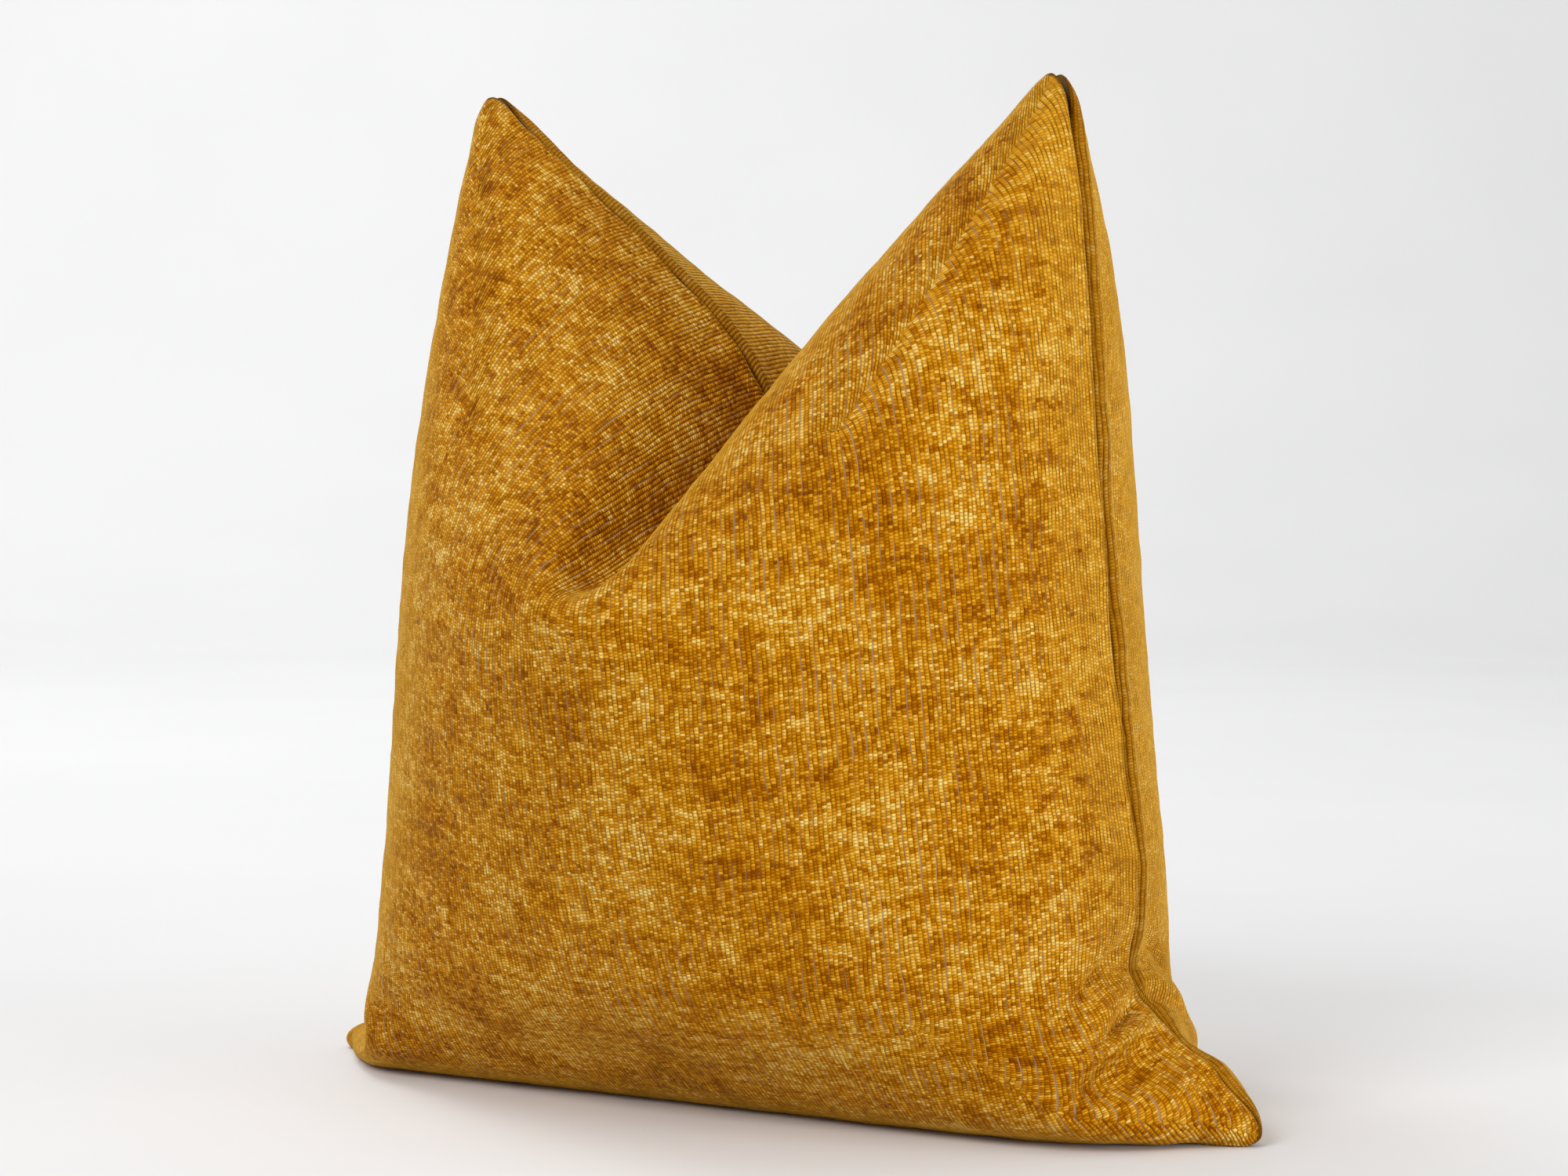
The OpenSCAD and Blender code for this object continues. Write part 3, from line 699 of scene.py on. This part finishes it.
def antique_metal(name):
    """Antique brass: bright where it rubs, darker and rougher elsewhere."""
    m = Nodes(name)
    n = m.noise(m.objco(), 420.0, 5.0, 0.65)
    k = m.noise(m.objco(), 90.0, 3.0, 0.6)
    x, y, z = m.split(m.objco())
    brush = m.noise(m.xyz(m.math("MULTIPLY", x, 400.0), m.math("MULTIPLY", y, 6000.0), m.math("MULTIPLY", z, 6000.0)), 1.0, 2.0, 0.6)
    f = m.math("MULTIPLY_ADD", n, 0.55, m.math("MULTIPLY", k, 0.45))
    m.set(Base_Color=m.ramp(m.map(f, 0.32, 0.68), [(0.0, srgb(92, 74, 44)), (0.5, srgb(150, 124, 78)), (1.0, srgb(196, 168, 112))]),
          Roughness=m.map(m.math("MULTIPLY_ADD", brush, 0.4, m.math("MULTIPLY", f, 0.6)), 0.3, 0.7, 0.42, 0.24))
    m.bsdf.inputs["Metallic"].default_value = 1.0
    m.bump(m.math("MULTIPLY_ADD", brush, 0.3, n), 0.00003, 0.5)
    return m.mat


def fibre_mat():
    """Loose polyester fibre."""
    m = Nodes("polyester_fibre")
    o = m.objco()
    x, y, z = m.split(o)
    n = m.noise(o, 120.0, 6.0, 0.7)
    s = m.noise(m.xyz(m.math("MULTIPLY", x, 900.0), m.math("MULTIPLY", y, 900.0), m.math("MULTIPLY", z, 120.0)), 1.0, 3.0, 0.7)
    m.set(Base_Color=m.ramp(m.map(m.math("MULTIPLY_ADD", n, 0.6, m.math("MULTIPLY", s, 0.4)), 0.3, 0.7),
                            [(0.0, srgb(222, 222, 218)), (1.0, srgb(252, 252, 250))]), Roughness=m.map(n, 0.3, 0.7, 0.85, 1.0))
    m.bsdf.inputs["Sheen Weight"].default_value = 0.4
    m.bump(m.math("MULTIPLY_ADD", s, 0.6, n), 0.0012, 0.8)
    return m.mat


M_PILE = chenille()
M_BACKING = woven("cover_backing", srgb(120, 82, 26), srgb(168, 122, 52), 0.0009, uv="cloth")
M_THREAD = thread_mat("gold_thread", srgb(120, 74, 10), srgb(188, 130, 42))
M_WHITE = thread_mat("white_thread_mat", srgb(206, 204, 196), srgb(246, 244, 238))
M_TICK = woven("cotton_ticking", srgb(214, 210, 200), srgb(246, 243, 236), 0.0008, uv="cloth", sheen=0.15)
M_FIBRE = fibre_mat()
M_TAPE = twill("zip_tape_twill", srgb(116, 76, 18), srgb(170, 118, 44))
M_COIL = nylon("zip_coil_nylon", srgb(112, 72, 18), srgb(158, 108, 40))
M_METAL = antique_metal("antique_brass")


# ======================================================================================
#  5. The two cover panels: outer pile, folded seams, turned-in edges, inner side
# ======================================================================================
SIDE = (-1.0, 1.0)
near = [0.0, 0.0004, 0.0010, 0.0018, 0.0030, 0.0046, 0.0066, 0.0090]
mid_n = 188
lin = (np.array(near + list(np.linspace(0.0090, W - 0.0090, mid_n + 1)[1:-1]) + [W - d for d in near[::-1]])) / W
AA, BB = np.meshgrid(lin, lin, indexing="ij")
RA, RB = corner_round(AA, BB)
NL = len(lin)


def at_zip(a):
    # the left end stays parted further out, where the slider parks when the zip is open
    far = 2 * a - 1
    return 1 - np.where(far < 0, ss(0.86, 0.94, -far), ss(0.815, 0.880, far))


def mids():
    """The panels' middle surfaces on the fine grid, with the bottom seam brought over the zip."""
    out = []
    seam_y = None
    for s in (0, 1):
        Q = sample(s, RA, RB)
        if seam_y is None:
            seam_y = Q[:, 0, 1].copy()
        dist = BB * W
        Q[..., 1] -= seam_y[:, None] * (1 - ss(0.02, 0.09, dist)) * at_zip(AA)
        out.append(Q)
    return out


MID = mids()


def normals(Q, s):
    du = np.gradient(Q, axis=0)
    dv = np.gradient(Q, axis=1)
    return unit(np.cross(du, dv)) * (1 if s == 0 else -1)


NRM = [normals(MID[s], s) for s in (0, 1)]
dist_edge = np.minimum(np.minimum(AA, 1 - AA), np.minimum(BB, 1 - BB)) * W      # metres to the nearest sewn edge
dist_bot = BB * W
along = np.where(np.minimum(AA, 1 - AA) < np.minimum(BB, 1 - BB), BB, AA) * W

# seam frame: inward direction and side direction along each border
def border(getter):
    """Border points, direction into the pillow and direction towards the back panel."""
    F, B = getter(MID[0]), getter(MID[1])
    edge = 0.5 * (F[0] + B[0])
    tf, tb = unit(F[0] - F[3]), unit(B[0] - B[3])
    inward = -unit(tf + tb)
    run = unit(np.gradient(edge, axis=0))
    e = unit(np.cross(run, inward))
    d = (B[3] - F[3])
    e = e * np.sign((e * d).sum(-1, keepdims=True) + 1e-12)
    for _ in range(6):     # smooth along the seam
        inward[1:-1] = unit(inward[:-2] + 2 * inward[1:-1] + inward[2:])
        e[1:-1] = unit(e[:-2] + 2 * e[1:-1] + e[2:])
    return edge, inward, e


LEFT = border(lambda Q: [Q[k] for k in range(8)])
RIGHT = border(lambda Q: [Q[-1 - k] for k in range(8)])
TOP = border(lambda Q: [Q[:, -1 - k] for k in range(8)])
BOTTOM = border(lambda Q: [Q[:, k] for k in range(8)])

STRIP = [0.0015, 0.0050, 0.0095]
ROLL, PILE, GROOVE = 0.0028, 0.0013, 0.0028
EXT = len(STRIP)


def panel(s):
    sg = SIDE[s]
    mid, nrm = MID[s], NRM[s]
    # outward lift of the pile, rounding over into the seam, with the turned-in edge showing as a soft ridge
    lift = PILE * np.sqrt(np.clip(1 - (1 - np.clip(dist_edge / ROLL, 0, 1)) ** 2, 0, 1))
    ridge = 0.0011 * np.exp(-((dist_edge - 0.0048) / 0.0030) ** 2)
    side_or_top = 1 - at_zip(AA) * (1 - ss(0.010, 0.03, dist_bot))
    pucker = 0.00045 * noise(along / 0.011, AA * 0 + s * 9.0, 3) * np.exp(-((dist_edge - 0.006) / 0.007) ** 2)
    pucker += 0.0006 * noise(along / 0.024, AA * 0 + s * 5.0, 8) * np.exp(-(dist_edge / 0.020) ** 2) * ss(0, 0.004, dist_edge)
    soft = 0.00035 * noise(AA * W / 0.016, BB * W / 0.012, 11 + s) + 0.00018 * noise(AA * W / 0.006, BB * W / 0.005, 21 + s)
    soft *= ss(0.003, 0.012, dist_edge)
    # a short tuck runs into each panel from the kink of the side seam, with a soft fold under it
    r_ = np.minimum(AA, 1 - AA) * W
    t_ = BB * W - (0.108 - 0.22 * r_ + 0.0015 * noise(r_ / 0.018, AA * 0 + 2.0, 6 + s))
    env = ss(0.002, 0.010, r_) * (1 - ss(0.022, 0.055, r_))
    tuck = env * (-0.0072 * np.exp(-(t_ / 0.0048) ** 2) + 0.0022 * np.exp(-((t_ + 0.013) / 0.0085) ** 2) + 0.0036 * np.exp(-((t_ - 0.012) / 0.0080) ** 2))
    t2_ = BB * W - (0.148 - 0.60 * r_)
    tuck += -0.0028 * ss(0.006, 0.02, r_) * (1 - ss(0.030, 0.06, r_)) * np.exp(-(t2_ / 0.0045) ** 2)
    out = mid + nrm * (lift + (ridge + pucker) * side_or_top + soft + tuck)[..., None]
    inn = mid + nrm * (np.minimum(tuck, 0) - 0.0004 - 0.0006 * ss(0, 0.005, dist_edge))[..., None]
    # the sewn line sits down in a groove between the two rolled edges
    sink = GROOVE * np.clip(1 - lin[:8] * W / 0.0042, 0, 1) ** 1.3
    fa = fb = ss(0.010, 0.036, np.minimum(lin, 1 - lin) * W)[:, None]
    for arr in (out, inn):
        for k in range(8):
            arr[k] += LEFT[1] * sink[k] * fa
            arr[-1 - k] += RIGHT[1] * sink[k] * fa
            arr[:, -1 - k] += TOP[1] * sink[k] * fb
    # seam gap
    wgt = (1 - ss(0, 0.0012, dist_edge))[..., None] * 0.00025 * sg
    for arr in (out, inn):
        arr[0] += LEFT[2] * 0.00025 * sg
        arr[-1] += RIGHT[2] * 0.00025 * sg
        arr[1:-1, -1] += (TOP[2] * 0.00025 * sg)[1:-1]
    inn[0] += LEFT[1] * 0.0005
    inn[-1] += RIGHT[1] * 0.0005
    inn[1:-1, -1] += TOP[1][1:-1] * 0.0005
    # valley beside the zip
    z = at_zip(AA)
    k = 1 - ss(0, 0.022, dist_bot)
    reach = (1 - ss(0.018, 0.040, dist_bot)) * z
    for arr, dz in ((out, 0.0), (inn, 0.0010)):
        want_y = sg * (0.0064 + dist_bot * (0.0156 / 0.022))
        arr[..., 1] = mix(arr[..., 1], np.where(dist_bot < 0.022, want_y, arr[..., 1]), z * (1 - ss(0.016, 0.026, dist_bot)))
        arr[..., 2] = mix(arr[..., 2], 0.0090 * k + dz * 0.6 * ss(0.0, 0.003, dist_bot), reach * (1 - ss(0.012, 0.030, dist_bot)))
    out[..., 2] = np.maximum(out[..., 2], 0.0)
    inn[..., 2] = np.maximum(inn[..., 2], out[..., 2] * 0 + 0.0006)
    # extended grid with the turned-in strips
    n = NL + 2 * EXT
    O = np.zeros((n, n, 3))
    I = np.zeros((n, n, 3))
    O[EXT:-EXT, EXT:-EXT] = out
    I[EXT:-EXT, EXT:-EXT] = inn
    for q, d in enumerate(STRIP):
        for (edge, inward, e), at in ((LEFT, EXT - 1 - q), (RIGHT, n - EXT + q)):
            O[at, EXT:-EXT] = edge + inward * d + e * sg * 0.0003
            I[at, EXT:-EXT] = edge + inward * d + e * sg * 0.0012
        edge, inward, e = TOP
        O[EXT:-EXT, n - EXT + q] = edge + inward * d * 0.6 + e * sg * 0.0003
        I[EXT:-EXT, n - EXT + q] = edge + inward * d * 0.6 + e * sg * 0.0012
        # bottom: a folded hem beside the zip, a turned-in strip at its ends
        edge, inward, e = BOTTOM
        zz = at_zip(lin)[:, None]
        hy = [0.0070, 0.0100, 0.0138][q]
        hz = [0.0104, 0.0110, 0.0113][q]
        hem = np.stack([out[:, 0, 0], np.full(NL, sg * hy), np.full(NL, hz)], -1)
        strip = edge + inward * d
        O[EXT:-EXT, EXT - 1 - q] = mix(strip + e * sg * 0.0003, hem, zz)
        I[EXT:-EXT, EXT - 1 - q] = mix(strip + e * sg * 0.0012, hem - np.array([0, 0, 0.0007]), zz)
    # the turned-in edge of the left side seam lies clear of where the open slider parks
    for G, z0 in ((O, 0.0148), (I, 0.0152)):
        near = G[:EXT + 9, EXT + int(np.searchsorted(lin, 0.055)):]
        park = (near[..., 0] > -0.2200) & (near[..., 0] < -0.1800) & (np.abs(near[..., 1]) < 0.009)
        near[..., 2] = np.where(park, np.maximum(near[..., 2], z0), near[..., 2])
    ii, jj = np.meshgrid(np.arange(n - 1), np.arange(n - 1), indexing="ij")
    on = (ii >= EXT) & (ii < n - 1 - EXT) & (jj >= EXT) & (jj < n - 1 - EXT)
    lo = EXT + int(np.searchsorted(lin, 0.045))
    hi = EXT + int(np.searchsorted(lin, 0.955)) - 1
    inside_j = (jj >= lo) & (jj < hi)
    inside_i = (ii >= lo) & (ii < hi)
    on |= ((ii < EXT) | (ii >= n - 1 - EXT)) & inside_j
    on |= ((jj < EXT) | (jj >= n - 1 - EXT)) & inside_i
    idx = ii * n + jj
    quad = np.stack([idx, idx + n, idx + n + 1, idx + 1], -1)          # front: outward is -Y
    top = quad[on]
    m = n * n
    bot = quad[on][:, ::-1] + m
    rims = []
    pad = np.pad(on, 1)
    for (di, dj, a, b) in ((-1, 0, 0, 3), (1, 0, 2, 1), (0, -1, 1, 0), (0, 1, 3, 2)):
        open_ = on & ~pad[1 + di:n + di, 1 + dj:n + dj]
        q4 = quad[open_]
        rims.append(np.stack([q4[:, a], q4[:, b], q4[:, b] + m, q4[:, a] + m], -1))
    rim = np.concatenate(rims)
    faces = np.concatenate([top, bot, rim])
    core = ((ii >= EXT - 1) & (ii < n - EXT) & (jj >= EXT - 1) & (jj < n - EXT))[on]
    mat_index = np.concatenate([np.zeros(len(top), int), np.ones(len(bot), int), np.zeros(len(rim), int)])
    if s == 1:
        faces = faces[:, ::-1]
    # cloth coordinates in metres
    ext = np.concatenate([-np.array(STRIP[::-1]) / W, lin, 1 + np.array(STRIP) / W])
    UA, VB = np.meshgrid(ext * W, ext * W, indexing="ij")
    flip = UA if s == 0 else 0.9 - UA
    cloth = np.stack([flip, VB + (0 if s == 0 else 0.7)], -1).reshape(-1, 2)
    cloth = np.concatenate([cloth, cloth])
    verts = np.concatenate([O.reshape(-1, 3), I.reshape(-1, 3)])
    used = np.zeros(len(verts), bool)
    used[faces.ravel()] = True
    new = np.cumsum(used) - 1
    pos = np.stack([(UA + 0.0095) / (W + 0.019), (VB + 0.0095) / (W + 0.019)], -1).reshape(-1, 2)
    bake = np.concatenate([0.004 + pos * [0.90, 0.99], np.stack([0.915 + pos[:, 0] * 0.08, 0.004 + pos[:, 1] * 0.99], -1)])
    far = np.zeros((n, n))
    far[EXT:-EXT, EXT:-EXT] = np.minimum(dist_edge, 0.05)
    rim_uv = np.stack([far, VB * 0 + s], -1).reshape(-1, 2)
    rim_uv = np.concatenate([rim_uv, rim_uv])
    return make_mesh("cover_%s_visual" % ("front", "back")[s], verts[used], [new[faces]], [M_PILE, M_BACKING],
                     index=mat_index, uvs={"cloth": cloth[used], "rim": rim_uv[used], "OFBake": bake[used]}), O, I


cover_f, OF_, IF_ = panel(0)
cover_b, OB_, IB_ = panel(1)
for ob, node in ((cover_f, "cover_front"), (cover_b, "cover_back")):
    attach(ob, "pillow")
    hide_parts(node)


# ======================================================================================
#  6. The insert and its fibre, inside the cover
# ======================================================================================
def inner_grids(n, d, inset):
    k = np.linspace(-1, 1, n + 1)
    uu, vv = np.meshgrid(k, (k + 1) / 2, indexing="ij")
    top = mix(0.87, 0.935, ss(0.15, 0.60, np.abs(uu))) - inset
    b = mix(0.05 + inset, top, vv)
    a = 0.5 + 0.5 * uu * (mix(0.66, 0.88, ss(0.03, 0.30, b)) - inset)
    out = []
    for s in (0, 1):
        e = 0.004
        q = sample(s, a, b)
        du = sample(s, a + e, b) - sample(s, a - e, b)
        dv = sample(s, a, b + e) - sample(s, a, b - e)
        nn = unit(np.cross(du, dv)) * (1 if s == 0 else -1)
        out.append(q - nn * d)
    F, B = out
    m = 0.5 * (F + B)
    e = np.maximum(np.abs(uu), np.abs(2 * vv - 1))
    c = np.sqrt(np.clip(1 - e ** 8, 0, 1))[..., None]
    h = 0.5 * (B - F)
    F, B = m - h * c, m + h * c
    for q in (F, B):
        q[..., 2] = np.maximum(q[..., 2], d)
        q[..., 2] += 0.014 * np.exp(-(q[..., 1] / 0.019) ** 2) * (1 - ss(0.02, 0.06, q[..., 2]))
    return F, B, uu, vv


def grid_quads(n, base=0, flip=False):
    ii, jj = np.meshgrid(np.arange(n), np.arange(n), indexing="ij")
    w = n + 1
    p = base + ii * w + jj
    q = np.stack([p, p + w, p + w + 1, p + 1], -1).reshape(-1, 4)
    return q[:, ::-1] if flip else q


NI = 64
INS_O = inner_grids(NI, 0.0050, 0.0)
INS_I = inner_grids(NI, 0.0057, 0.004)
for s, nm in ((0, "front"), (1, "back")):
    gap = np.array([0, SIDE[s] * 0.0003, 0])
    o, i_ = INS_O[s] + gap, INS_I[s] + gap
    wob = 0.0008 * noise(INS_O[2] * 9, INS_O[3] * 18, 5 + s)
    o = o + np.stack([wob * 0, wob * SIDE[s], wob * 0], -1) * (1 - np.maximum(np.abs(INS_O[2]), np.abs(2 * INS_O[3] - 1)) ** 6)[..., None]
    w = NI + 1
    m = w * w
    top = grid_quads(NI)
    bot = grid_quads(NI, m, True)
    k = np.arange(NI)
    rim = np.concatenate([
        np.stack([k + 1, k, k + m, k + 1 + m], -1)[:, ::1],
        np.stack([NI * w + k, NI * w + k + 1, NI * w + k + 1 + m, NI * w + k + m], -1),
        np.stack([k * w, (k + 1) * w, (k + 1) * w + m, k * w + m], -1),
        np.stack([(k + 1) * w + NI, k * w + NI, k * w + NI + m, (k + 1) * w + NI + m], -1)])
    rim = rim[:, ::-1]
    f = np.concatenate([top, bot, rim])
    if s == 1:
        f = f[:, ::-1]
    uv = np.stack([(INS_O[2] + 1) / 2 * 0.5, INS_O[3] * 0.5], -1).reshape(-1, 2)
    ob = make_mesh("insert_%s_visual" % nm, np.concatenate([o.reshape(-1, 3), i_.reshape(-1, 3)]), [f], [M_TICK],
                   uvs={"cloth": np.concatenate([uv, uv])})
    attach(ob, "pillow")
    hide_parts("insert_" + nm)

# fibre: one closed lumpy body
NF = 72
FF, FB, uu, vv = inner_grids(NF, 0.0078, 0.006)
lump = (0.0012 * noise(uu * 14, vv * 26, 31) + 0.0006 * noise(uu * 40, vv * 80, 33) - 0.0016)
rimw = (1 - np.maximum(np.abs(uu), np.abs(2 * vv - 1)) ** 8)[..., None]
for q, sg in ((FF, -1), (FB, 1)):
    q += np.stack([lump * 0, lump * sg, lump * 0], -1) * rimw
w = NF + 1
m = w * w
idf = np.arange(m).reshape(w, w)
idb = idf + m
edge = np.zeros((w, w), bool)
edge[0] = edge[-1] = True
edge[:, 0] = edge[:, -1] = True
idb[edge] = idf[edge]


def quads_from(ids, flip):
    q = np.stack([ids[:-1, :-1], ids[1:, :-1], ids[1:, 1:], ids[:-1, 1:]], -1).reshape(-1, 4)
    return q[:, ::-1] if flip else q


faces = np.concatenate([quads_from(idf, False), quads_from(idb, True)])
verts = np.concatenate([FF.reshape(-1, 3), FB.reshape(-1, 3)])
used = np.zeros(len(verts), bool)
used[faces.ravel()] = True
new = np.cumsum(used) - 1
fill = make_mesh("fill_visual", verts[used], [new[faces]], [M_FIBRE])
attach(fill, "pillow")
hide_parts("fill")


# ======================================================================================
#  7. Threads
# ======================================================================================
def run_stitches(path, length, pitch, r, up=None, dip=0.5):
    """Stitches one after another along a path."""
    pts, s = arc_resample(np.asarray(path), 0.0005)
    b = Bits(6)
    at = 0.0
    total = s[-1]
    while at + length < total:
        t = at + length * np.array([0.0, 0.12, 0.5, 0.88, 1.0])
        c = np.stack([np.interp(t, s, pts[:, k]) for k in range(3)], -1)
        if up is not None:
            u = up if np.ndim(up) == 1 else np.stack([np.interp(t, s, np.interp(s, np.linspace(0, total, len(up)), up[:, k])) for k in range(3)], -1)
            c = c + u * (np.array([-dip, 0.1, 0.55, 0.1, -dip]) * r)[:, None]
        yield c
        at += pitch


def stitch_mesh(name, paths, length, pitch, r, mat, ups=None):
    b = Bits(6)
    for k, p in enumerate(paths):
        for c in run_stitches(p, length, pitch, r, None if ups is None else ups[k]):
            b.add(c, r * np.array([0.55, 0.95, 1.0, 0.95, 0.55]))
    return b.mesh(name, mat)


lo, hi = int(np.searchsorted(lin, 0.12)), int(np.searchsorted(lin, 0.90))
lt, ht = int(np.searchsorted(lin, 0.07)), int(np.searchsorted(lin, 0.93))
ll = int(np.searchsorted(lin, 0.17))          # the left side's threads start above the parked slider
seam_paths = [LEFT[0][ll:hi] + LEFT[1][ll:hi] * 0.0026, TOP[0][lt:ht] + TOP[1][lt:ht] * 0.0026, RIGHT[0][lo:hi] + RIGHT[1][lo:hi] * 0.0026]
seam_thread = stitch_mesh("cover_seam_thread_visual", seam_paths, 0.0029, 0.0032, 0.00022, M_THREAD)
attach(seam_thread, "pillow")
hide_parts("cover_seam_thread")

over = Bits(5)
for (edge_, inward, e), k0 in ((LEFT, ll), (RIGHT, lo)):
    for sg in SIDE:
        a_, _ = arc_resample(edge_[k0:hi] + inward[k0:hi] * 0.0070 + e[k0:hi] * sg * 0.0008, 0.003)
        b_, _ = arc_resample(edge_[k0:hi] + inward[k0:hi] * 0.0100 + e[k0:hi] * sg * 0.0008, 0.003)
        n_ = min(len(a_), len(b_))
        z_ = np.empty((2 * n_, 3))
        z_[0::2], z_[1::2] = a_[:n_], b_[:n_]
        over.add(z_, 0.00018)
overlock = over.mesh("edge_overlock_visual", M_THREAD)
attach(overlock, "pillow")
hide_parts("edge_overlock")

IM = 0.5 * (INS_O[0] + INS_O[1])
ipath = np.concatenate([IM[0], IM[1:, -1], IM[-1, ::-1][1:]])
icent = IM[NI // 2, NI // 2]
ipath = ipath + unit(icent - ipath) * 0.0008
ins_thread = stitch_mesh("insert_seam_thread_visual", [ipath], 0.0032, 0.0036, 0.0002, M_WHITE)
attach(ins_thread, "pillow")
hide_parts("insert_seam_thread")

# two topstitched lines that hold the zip, on the cover's outer side
zp, zu = [], []
row = EXT + int(np.searchsorted(dist_bot[0], 0.0052))
for O_, sg in ((OF_, -1), (OB_, 1)):
    line = O_[EXT:-EXT, row]
    keep = np.abs(line[:, 0]) < 0.199
    zp.append(line[keep] + np.array([0, -sg * 0.0001, -0.0002]))
    zu.append(np.array([0, -sg * 0.5, -0.86]))
zip_st = stitch_mesh("zip_stitching_visual", zp, 0.0030, 0.0036, 0.00026, M_THREAD, zu)
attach(zip_st, "pillow")
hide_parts("zip_stitching")

# carried-over CAD nodes
for n_, mt in (("zip_tape_front", M_TAPE), ("zip_tape_back", M_TAPE), ("zip_coil_front", M_COIL), ("zip_coil_back", M_COIL),
               ("zip_stop_start", M_METAL), ("zip_stop_end", M_METAL), ("zip_slider", M_METAL), ("zip_pull", M_METAL)):
    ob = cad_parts[n_]
    ob.data.materials.clear()
    ob.data.materials.append(mt)


# ======================================================================================
#  8. Floor, light and camera
# ======================================================================================
def stage_material():
    m = Nodes("paper_sweep")
    n = m.noise(m.objco(), 3.0, 3.0, 0.5)
    m.set(Base_Color=m.ramp(m.map(n, 0.3, 0.7), [(0.0, (0.80, 0.80, 0.805, 1)), (1.0, (0.82, 0.82, 0.823, 1))]), Roughness=0.85)
    m.bsdf.inputs["Specular IOR Level"].default_value = 0.1
    return m.mat


AZ, EL, DIST, FPX, TGT = 32.61, 3.02, 1.916, 5257.7, (0.0112, 0.0, 0.2381)
az, el = math.radians(AZ), math.radians(EL)
back = Vector((math.sin(az) * math.cos(el), -math.cos(az) * math.cos(el), math.sin(el)))
right = Vector((math.cos(az), math.sin(az), 0))
up = back.cross(right)

# paper sweep: a floor, and a wall that rises behind in a wide curve, both far from the pillow
ang = np.linspace(0, np.pi / 2, 24)
prof = [(-9.0, 0.0), (3.0, 0.0)] + [(3.0 + 2.0 * math.sin(t), 2.0 - 2.0 * math.cos(t)) for t in ang[1:]] + [(5.0, 9.0)]
wdt = np.linspace(-10, 10, 21)
SV = np.array([[x_ * right.x - y_ * back.x, x_ * right.y - y_ * back.y, z_] for x_ in wdt for (y_, z_) in prof])
npf = len(prof)
ii, jj = np.meshgrid(np.arange(len(wdt) - 1), np.arange(npf - 1), indexing="ij")
p_ = (ii * npf + jj).ravel()
sweep_ob = make_mesh("paper_sweep", SV, [np.stack([p_, p_ + npf, p_ + npf + 1, p_ + 1], -1)], [stage_material()])

world = bpy.data.worlds.new("studio")
bpy.context.scene.world = world
world.use_nodes = True
world.node_tree.nodes["Background"].inputs[0].default_value = (1.0, 1.0, 1.0, 1)
world.node_tree.nodes["Background"].inputs[1].default_value = 0.54


def area(name, at, size, power, color=(1, 1, 1), aim=(0, 0, 0.22)):
    l = bpy.data.lights.new(name, "AREA")
    l.shape = "RECTANGLE"
    l.size, l.size_y = size
    l.energy = power
    l.color = color
    o = bpy.data.objects.new(name, l)
    bpy.context.scene.collection.objects.link(o)
    o.location = at
    o.rotation_euler = (Vector(aim) - Vector(at)).to_track_quat("-Z", "Y").to_euler()
    return o


def place(r_, b_, z_):
    return (right.x * r_ + back.x * b_, right.y * r_ + back.y * b_, z_)


area("key", place(-1.3, 1.9, 1.9), (1.3, 1.3), 35)
area("top", place(-0.6, -0.2, 2.8), (1.8, 1.8), 9)
area("fill", place(2.1, 1.4, 0.36), (1.2, 0.5), 32)
area("backdrop", place(-1.5, -1.6, 3.2), (2.5, 1.5), 74, aim=place(0.2, -4.4, 0.7))

cam = bpy.data.cameras.new("camera")
cam.sensor_fit = "HORIZONTAL"
cam.sensor_width = 36.0
cam.lens = FPX * 36.0 / 2000.0
cam.clip_end = 60
cob = bpy.data.objects.new("camera", cam)
bpy.context.scene.collection.objects.link(cob)
rot = Matrix((right, up, back)).transposed().to_4x4()
cob.matrix_world = Matrix.Translation(Vector(TGT) + back * DIST) @ rot
bpy.context.scene.camera = cob
bpy.context.scene.view_settings.view_transform = "Standard"
bpy.context.scene.view_settings.look = "None"
